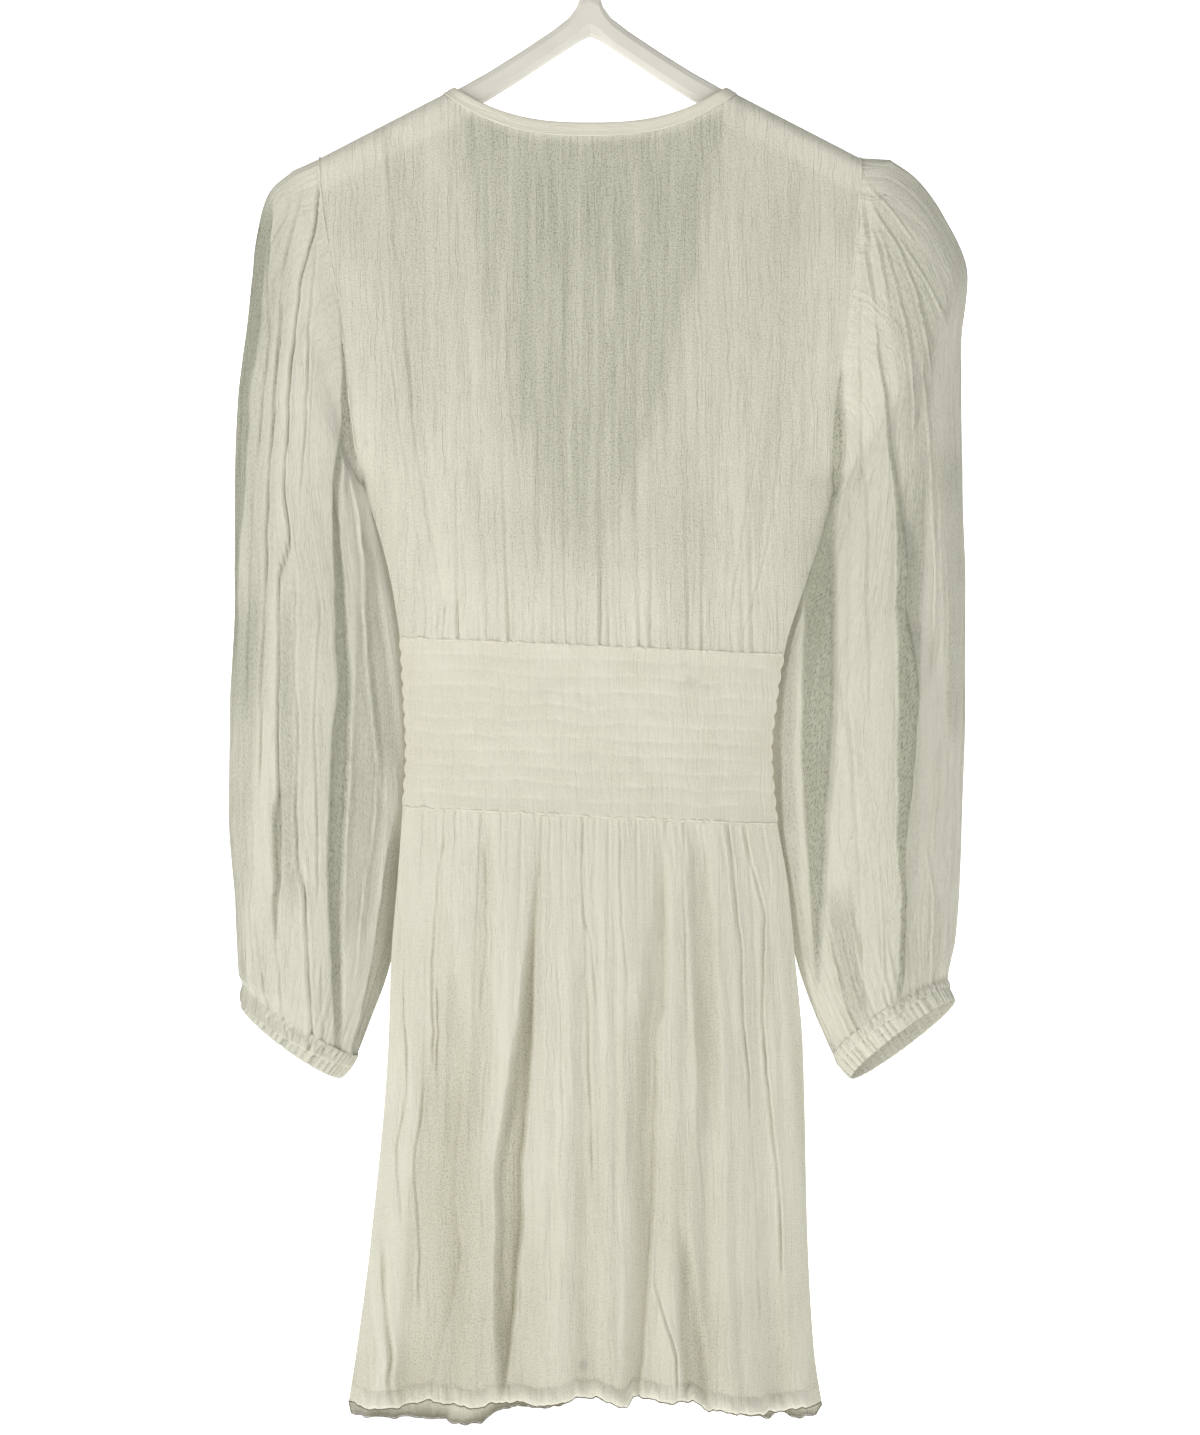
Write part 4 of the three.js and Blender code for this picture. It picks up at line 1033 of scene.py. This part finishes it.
RIGHT_LINES = make_creases(
    (1.3, 1.2, (138, 172.2), (185, 172.2), (237, 174.1), (289, 176.6), (400, 177)),
    (1.7, 1.2, (60, 177.9), (67, 182.4), (81, 195.2), (100, 207)),
    (2.2, 1.3, (76, 175), (92, 176.5), (106, 178)),
    (2.4, 1.3, (98, 175), (112, 177), (138, 181)),
    (2.0, 1.2, (92, 181), (112, 186), (142, 191)),
    (1.9, 1.2, (74, 181), (84, 185.6), (108, 199), (143, 211.8), (180, 218)),
    (1.4, 1.2, (100, 198.4), (125, 215.7), (150, 228.5)),
    (1.4, 1.2, (90, 184), (125, 195), (170, 205), (230, 209)),
    (-1.3, 2.0, (381, 158.1), (416, 167), (473, 170.9), (524, 173.4), (580, 173.4)),
    (1.7, 1.2, (490, 217), (526, 220.2), (580, 218.2)),
    (1.5, 1.2, (390, 231.7), (412, 230.4), (432, 224), (493, 220.2)),
    (1.7, 1.2, (534, 151), (565, 158.7), (595, 167), (622, 179.2)),
    (1.3, 1.1, (530, 167), (565, 173.4), (600, 177)),
    (1.3, 1.1, (180, 213), (250, 219), (330, 222), (380, 220)),
    (1.1, 1.1, (300, 229), (370, 231), (440, 230)),
    (1.1, 1.1, (520, 186), (560, 188), (596, 187)),
    (1.2, 1.1, (540, 208), (570, 209), (595, 207)),
    (1.2, 1.1, (530, 226), (556, 225), (580, 221)),
    (1.0, 1.1, (260, 166), (330, 165), (400, 163)),
    (1.1, 1.1, (540, 160), (570, 167), (600, 176)),
)
# Folds of both sleeves on the front.
FRONT_SLEEVE_VALLEYS = make_valleys(
    (4, 0.6, (2, 4),
     ((200, 184), (300, 188), (400, 190), (500, 189), (570, 186)),
     ((200, 188), (300, 195), (400, 201), (500, 196), (570, 190))),
    (4, 0.6, (4, 2),
     ((260, 152), (340, 148), (430, 146), (520, 152)),
     ((260, 158), (340, 160), (430, 160), (520, 160))),
    (1, 0.45, (5, 16), ((80, 206), (200, 220), (360, 230)), ((80, 255), (360, 255))),
)
FRONT_SLEEVE_LINES = make_creases(
    (2.0, 1.2, (62, 178), (110, 190), (170, 198), (260, 203)),
    (1.8, 1.2, (90, 178), (150, 184), (240, 188)),
    (1.6, 1.2, (120, 196), (200, 208), (320, 214), (430, 216)),
    (1.6, 1.2, (200, 172), (320, 175), (450, 172)),
    (1.4, 1.2, (420, 206), (520, 208), (590, 202)),
    (1.6, 1.2, (480, 178), (560, 180), (615, 180)),
    (1.3, 1.1, (500, 164), (560, 168), (610, 172)),
    (1.2, 1.1, (500, 220), (560, 219), (590, 214)),
)


def flat_ring(inner, outer, depth, dip, angle):
    """Points of a flattened ring, at angles from 0 at its outer end to 180 degrees at its inner one."""
    arm = (outer - inner) / 2
    side = np.sin(angle)
    points = inner + arm + arm * np.cos(angle)[..., None]
    points[..., 1] += side * np.abs(side) ** LENS * depth
    points[..., 2] += side * dip
    return points


def sleeve_ring(hand, tracks, s, angle):
    in_x, in_drop, out_x, out_drop, depth, in_y, out_y, dip = [column(s) for column in tracks]
    inner = np.stack([hand * in_x, in_y, -(NECK_BELOW_RAIL + in_drop)], axis=-1)
    outer = np.stack([hand * out_x, out_y, -(NECK_BELOW_RAIL + out_drop)], axis=-1)
    return flat_ring(inner, outer, depth, dip, angle)


def armhole_ring(hand, angle):
    middle = (SHOULDER_DROP + UNDERARM_DROP) / 2
    reach = (UNDERARM_DROP - SHOULDER_DROP) / 2
    drop = middle - reach * np.cos(angle)
    side = np.sin(angle)
    x = hand * half_width(drop, hand + 0 * drop)
    edge = body_points(1, x, drop)
    edge[..., 0] -= hand * LAP
    edge[..., 1] *= np.clip(side * 20, -1, 1)
    return edge


def down_the_arm(last):
    """How far the places and the drops of a sleeve's end move for each millimetre down the arm."""
    reach = math.hypot(last.out_x - last.in_x, last.out_drop - last.in_drop)
    return (last.in_drop - last.out_drop) / reach, (last.out_x - last.in_x) / reach


def over_the_cuff(last, inner, outer):
    """Sections that carry a sleeve's end on, over the top of its cuff, and turn it in."""
    step_x, step_drop = down_the_arm(last)
    turned = []
    for share, grow, full in ((0.0, 0.4, 0.56), (0.5, 1.6, 0.28), (0.9, 2.2, 0.05), (1.0, 1.2, 0.0)):
        turned.append(last._replace(
            in_x=last.in_x + step_x * inner * share - grow,
            in_drop=last.in_drop + step_drop * inner * share,
            out_x=last.out_x + (step_x * share + full) * outer + grow,
            out_drop=last.out_drop + step_drop * outer * share,
            depth=last.depth + grow,
        ))
    return tuple(turned)


def sleeve(hand, name, node, rows, cover, valleys, lines):
    rows = rows[:-1] + over_the_cuff(rows[-1], *cover)
    armhole_rows, arm_rows, columns = SLEEVE_GRID
    s = np.concatenate([np.linspace(0, 1, armhole_rows)[:-1], np.linspace(1, len(rows), arm_rows)])
    s = s[:, None]
    t = np.linspace(0, 2, columns, endpoint=False)
    half = np.where(t <= 1, t, 2 - t)
    # Columns lie closer together at the two ends of the ring, where it turns.
    half = 0.7 * np.arccos(1 - 2 * half) + 0.3 * np.pi * half
    angle = np.where(t <= 1, half, 2 * np.pi - half)[None, :] + 0 * s
    s = s + 0 * angle
    rings = sleeve_ring(hand, section_tracks(rows), np.maximum(s, 1), angle)
    points = mix(armhole_ring(hand, angle), rings, np.minimum(s, 1)[..., None])
    normal = normals_of(points, True)
    sign = outward_sign(points, normal, (0, -1, 0))
    step = np.linalg.norm(np.diff(points, axis=0), axis=-1)
    down = np.concatenate([np.zeros((1, step.shape[1])), np.cumsum(step, axis=0)])
    left = down[-1:] - down
    degrees = np.degrees(angle)
    across = degrees / 360 * ARM_ROUND
    x = np.abs(points[..., 0])
    drop = -points[..., 2] - NECK_BELOW_RAIL
    rounded = smooth(np.abs(np.sin(angle)) * 3)
    seen, seen_shade = relief(x, drop, valleys, lines, 230 + hand, 1.3)
    hidden, hidden_shade = relief(x, drop, FRONT_SLEEVE_VALLEYS, FRONT_SLEEVE_LINES, 240 + hand, 1.3)
    on_back = np.sin(angle) > 0
    bump = np.where(on_back, seen, hidden) * rounded
    from_top = np.abs(np.where(degrees > 180, degrees - 360, degrees))
    cap = 0.08 + 0.92 * smooth((58 - from_top) / 42)
    bump += cap * gathers(across, down, 3.7, 0.55, 9, 100 + hand)
    bump += cap * gathers(across, down, 8.5, 0.3, 40, 104 + hand)
    bump += gathers(across, left, 4.6, 1.0, 26, 108 + hand)
    bump += gathers(across, left, 2.9, 0.5, 12, 109 + hand)
    bump += 1.2 * noise(across / 22, down / 110, 112 + hand) * rounded
    bump += crinkle(across, down, 116 + 5 * hand, 1.5)
    ends = smooth(down / 3) * (0.35 + 0.65 * smooth(left / 6))
    points = points + normal * sign * (bump * ends)[..., None]
    # Painted shade, as seen through the cloth, from the valleys and creases, less at the gathered cap and
    # over the cuff.
    thin = 0.01 + 0.12 * noise(across / 11, down / 150, 120 + hand)
    thin += np.where(on_back, seen_shade, hidden_shade)
    thin = thin * (1 - 0.7 * cap * smooth(1 - down / 40)) * (1 - 0.6 * smooth(1 - left / 24))
    return mesh_piece(name, points, GAUZE, node, across, down, np.clip(thin, 0, 0.95),
                      tube=True, sign=sign)


def cuff(hand, name, node, last):
    reach = math.hypot(last.out_x - last.in_x, last.out_drop - last.in_drop)
    step_x, step_drop = down_the_arm(last)
    steps, columns = CUFF_GRID
    turn = np.linspace(0, 2 * np.pi, columns, endpoint=False)
    phase = turn / (2 * np.pi) * CUFF_RIBS + 0.45 * noise(turn * 7, 0, 130 + hand)
    uneven = 0.8 + 0.5 * noise(turn * 11, 0, 132 + hand)
    level, height = loop_section(steps, 0.75, 0.6)
    points, rib_shade = [], []
    for v, up in zip(level, height):
        away = v * (CUFF_WIDTH + SEAM_GAP * 3) - SEAM_GAP
        grow = 0.4 * math.sin(math.pi * v) - 1.6 * max(0.0, v - 0.4)
        inner = np.array([hand * (last.in_x + step_x * away - grow), last.in_y,
                          -(NECK_BELOW_RAIL + last.in_drop + step_drop * away)])
        outer = np.array([hand * (last.out_x + step_x * away + grow), last.in_y,
                          -(NECK_BELOW_RAIL + last.out_drop + step_drop * away)])
        ring = flat_ring(inner, outer, last.depth, last.dip, turn)
        arm = 2 * (outer - inner) / reach ** 2
        out = np.stack([arm[0] * np.cos(turn), np.sin(turn) / last.depth, arm[2] * np.cos(turn)],
                       axis=-1)
        out /= np.linalg.norm(out, axis=-1, keepdims=True)
        rib = np.abs(np.cos(np.pi * phase + 0.9 * math.sin(2 * v))) ** 0.7 * 2 - 1
        rib = rib * uneven * (0.85 if up > 0 else 0.3)
        ring += out * (0.9 * up + 0.7 * rib * (0.4 + 0.6 * abs(up)))[:, None]
        ring[:, 2] -= 0.5 * v * rib
        points.append(ring)
        # Painted shade between the ribs.
        rib_shade.append(np.clip(0.3 - 0.5 * rib, 0, 0.6))
    points = np.array(points + points[:1])
    rib_shade = np.array(rib_shade + rib_shade[:1])
    across = (turn / (2 * np.pi) * CUFF_ROUND)[None, :]
    down = (np.arange(len(points)) * 1.5)[:, None]
    outermost = normals_of(points, True)[int(np.argmax(height)), 0, 0]
    sign = 1.0 if outermost * hand > 0 else -1.0
    return mesh_piece(name, points, GAUZE, node, across, down, rib_shade, tube=True, sign=sign)


# Sewing

def cord_mesh(name, path, radius, material, sides=6, closed=False, pucker=0.0, layer=0):
    """A narrow round line of sewing along a path, uneven where the cloth is puckered."""
    if closed:
        run = np.roll(path, -1, axis=0) - np.roll(path, 1, axis=0)
    else:
        run = np.gradient(path, axis=0)
    run /= np.maximum(np.linalg.norm(run, axis=-1, keepdims=True), 1e-9)
    up = np.cross(run, np.array([0.31, 0.12, 0.95]))
    up /= np.maximum(np.linalg.norm(up, axis=-1, keepdims=True), 1e-9)
    other = np.cross(run, up)
    turn = np.linspace(0, 2 * np.pi, sides, endpoint=False)
    step = np.concatenate([[0], np.cumsum(np.linalg.norm(np.diff(path, axis=0), axis=-1))])
    size = radius * (1 + pucker * noise(step / 2.2, 0, layer))
    cos, sin = np.cos(turn)[None, :, None], np.sin(turn)[None, :, None]
    ring = up[:, None, :] * cos + other[:, None, :] * sin
    points = path[:, None, :] + ring * size[:, None, None]
    if closed:
        points = np.concatenate([points, points[:1]])
    across = (turn * radius)[None, :]
    down = np.concatenate([step, [step[-1] + 1]])[: len(points), None]
    return mesh_piece(name, points, material, None, across, down, 0.05, tube=True)


def armhole_seam(hand, name):
    angle = np.linspace(0, 2 * np.pi, ARMHOLE_STEPS, endpoint=False)
    path = armhole_ring(hand, angle)
    path[:, 0] += hand * LAP
    path[:, 1] *= 0.99
    return cord_mesh(name, path, 0.7, GAUZE, sides=8, closed=True, pucker=0.5, layer=140)


def waist_seam(side, level, name):
    u = np.linspace(0.985, -0.985, WAIST_SEAM_STEPS)
    drop = (waist_top(u) if level == "top" else waist_bottom(u)) + 0.6 * noise(u * 40, 0, 142)
    path = body_points(side, u * half_width(drop, u), drop, 0.4 * noise(u * 60, 0, 143) - 0.3)
    return cord_mesh(name, path, 0.85, BAND, sides=8, pucker=0.6, layer=144)


def hem_edge(side, name):
    """The overlocked edge of the turned-up hem, which shows just under it."""
    u = np.linspace(1, -1, HEM_EDGE_STEPS)[None, :]
    points, _, _, _ = skirt_surface(side, u, np.array([[1.0]]))
    path = points[0]
    t = np.arange(len(path))
    path[:, 2] += -0.5 + 0.35 * np.sin(t * 1.9)
    path[:, 1] += side * (-0.7 + 0.4 * np.cos(t * 1.9))
    return cord_mesh(name, path, 0.42, OVERLOCK, sides=5, pucker=0.3, layer=146)


# Assembly

back = back_bodice()
front_left = front_bodice(1, "front_bodice_left", "bodice_front_left")
front_right = front_bodice(-1, "front_bodice_right", "bodice_front_right")
binding = neck_binding()
waist_back = waistband(1, "smocked_waist_back", "waistband_back")
waist_front = waistband(-1, "smocked_waist_front", "waistband_front")
back_skirt = skirt(1, "back_skirt", "skirt_back", BACK_SKIRT_GRID)
front_skirt = skirt(-1, "front_skirt", "skirt_front", FRONT_SKIRT_GRID)
# How far each sleeve falls over its cuff, at its edge towards the body and at its outer edge.
LEFT_COVER = (9, 14)
RIGHT_COVER = (8, 7)
left_sleeve = sleeve(
    1, "left_sleeve", "sleeve_left", LEFT_SECTIONS, LEFT_COVER, LEFT_VALLEYS, LEFT_LINES)
right_sleeve = sleeve(
    -1, "right_sleeve", "sleeve_right", RIGHT_SECTIONS, RIGHT_COVER, RIGHT_VALLEYS, RIGHT_LINES)
left_cuff = cuff(1, "left_cuff", "cuff_left", LEFT_SECTIONS[-1])
right_cuff = cuff(-1, "right_cuff", "cuff_right", RIGHT_SECTIONS[-1])
armhole_seam(1, "armhole_seam_left")
armhole_seam(-1, "armhole_seam_right")
for side, face in ((1, "back"), (-1, "front")):
    for level in ("top", "bottom"):
        waist_seam(side, level, "waist_seam_" + face + "_" + level)
for side, face in ((1, "back"), (-1, "front")):
    hem_edge(side, "hem_edge_" + face)

# Hanger

PLASTIC = plain("pale_plastic", (0.86, 0.845, 0.8), (60, 60, 60), 4.0, 0.86, 0.00008, 0.36, glossy=0.15)
STEEL = plain("bright_steel", (0.72, 0.72, 0.73), (400, 400, 90), 4.0, 0.86, 0.00008, 0.22, glossy=0.15,
              metal=1.0)
for node, material in (("hanger_body", PLASTIC), ("hanger_hook", STEEL)):
    for slot in bpy.data.objects[node].material_slots:
        slot.material = material

# Studio, in metres
FLOOR_LEVEL = -1.35
FLOOR_FRONT = 6.0
FLOOR_MIDDLE = 1.0
FLOOR_BACK = -4.2
COVE = 1.0
WALL_TOP = 5.0
STUDIO_HALF = 8.0
WORLD_LIGHT = 0.29
# Soft lights: name, place, height aimed at, size, watts.
LIGHTS = (
    ("key_light", (2.3, 1.7, 0.7), -0.5, 0.9, 36),
    ("fill_light", (-1.8, 2.6, 0.2), -0.6, 1.8, 13.5),
    ("front_light", (-1.4, -1.6, 0.8), -0.5, 1.2, 4),
)


def studio_surface():
    """A pale floor that curves up into a wall in front of which the dress hangs."""
    mesh = bpy.data.meshes.new("studio_surface")
    profile = [(FLOOR_FRONT, FLOOR_LEVEL), (FLOOR_MIDDLE, FLOOR_LEVEL), (FLOOR_BACK, FLOOR_LEVEL)]
    for a in np.linspace(0.1, math.pi / 2, 10):
        profile.append((FLOOR_BACK - COVE * math.sin(a), FLOOR_LEVEL + COVE - COVE * math.cos(a)))
    profile.append((FLOOR_BACK - COVE, WALL_TOP))
    verts = [(x, y, z) for y, z in profile for x in (-STUDIO_HALF, STUDIO_HALF)]
    faces = [(2 * i, 2 * i + 1, 2 * i + 3, 2 * i + 2) for i in range(len(profile) - 1)]
    mesh.from_pydata(verts, [], faces)
    mesh.polygons.foreach_set("use_smooth", [True] * len(mesh.polygons))
    n = Nodes("studio_white")
    n.fill(n.shader, {
        "Base Color": (0.9, 0.9, 0.9, 1), "Roughness": 1.0,
        "Emission Color": (1, 1, 1, 1), "Emission Strength": 0.9})
    mesh.materials.append(n.material)
    surface = bpy.data.objects.new("studio_surface", mesh)
    bpy.context.scene.collection.objects.link(surface)


def area_light(name, place, target, size, power):
    light = bpy.data.lights.new(name, "AREA")
    light.shape = "DISK"
    light.size = size
    light.energy = power
    lamp = bpy.data.objects.new(name, light)
    lamp.location = place
    lamp.rotation_euler = (Vector(target) - Vector(place)).to_track_quat("-Z", "Y").to_euler()
    bpy.context.scene.collection.objects.link(lamp)


studio_surface()
for light_name, place, aim, size, power in LIGHTS:
    area_light(light_name, place, (0, 0, aim), size, power)
world = bpy.data.worlds.new("studio")
world.use_nodes = True
background = world.node_tree.nodes["Background"]
background.inputs["Color"].default_value = (1.0, 1.0, 1.0, 1)
background.inputs["Strength"].default_value = WORLD_LIGHT
bpy.context.scene.world = world
bpy.context.scene.view_settings.view_transform = "Standard"

# Camera: the photo's frame is 0.768 m wide at the dress's back, 0.02 m from the middle, and square to it.
VIEW_HEIGHT = 0.9184
VIEW_MIDDLE = (-0.0064, -0.532)
DISTANCE = 3.5
BACK_FACE = 0.02
SENSOR = 24
optics = bpy.data.cameras.new("photo_camera")
optics.sensor_fit = "VERTICAL"
optics.sensor_height = SENSOR
optics.lens = SENSOR * (DISTANCE - BACK_FACE) / VIEW_HEIGHT
camera = bpy.data.objects.new("photo_camera", optics)
camera.location = (VIEW_MIDDLE[0], DISTANCE, VIEW_MIDDLE[1])
camera.rotation_euler = (math.pi / 2, 0, math.pi)
bpy.context.scene.collection.objects.link(camera)
bpy.context.scene.camera = camera

bpy.context.view_layer.update()
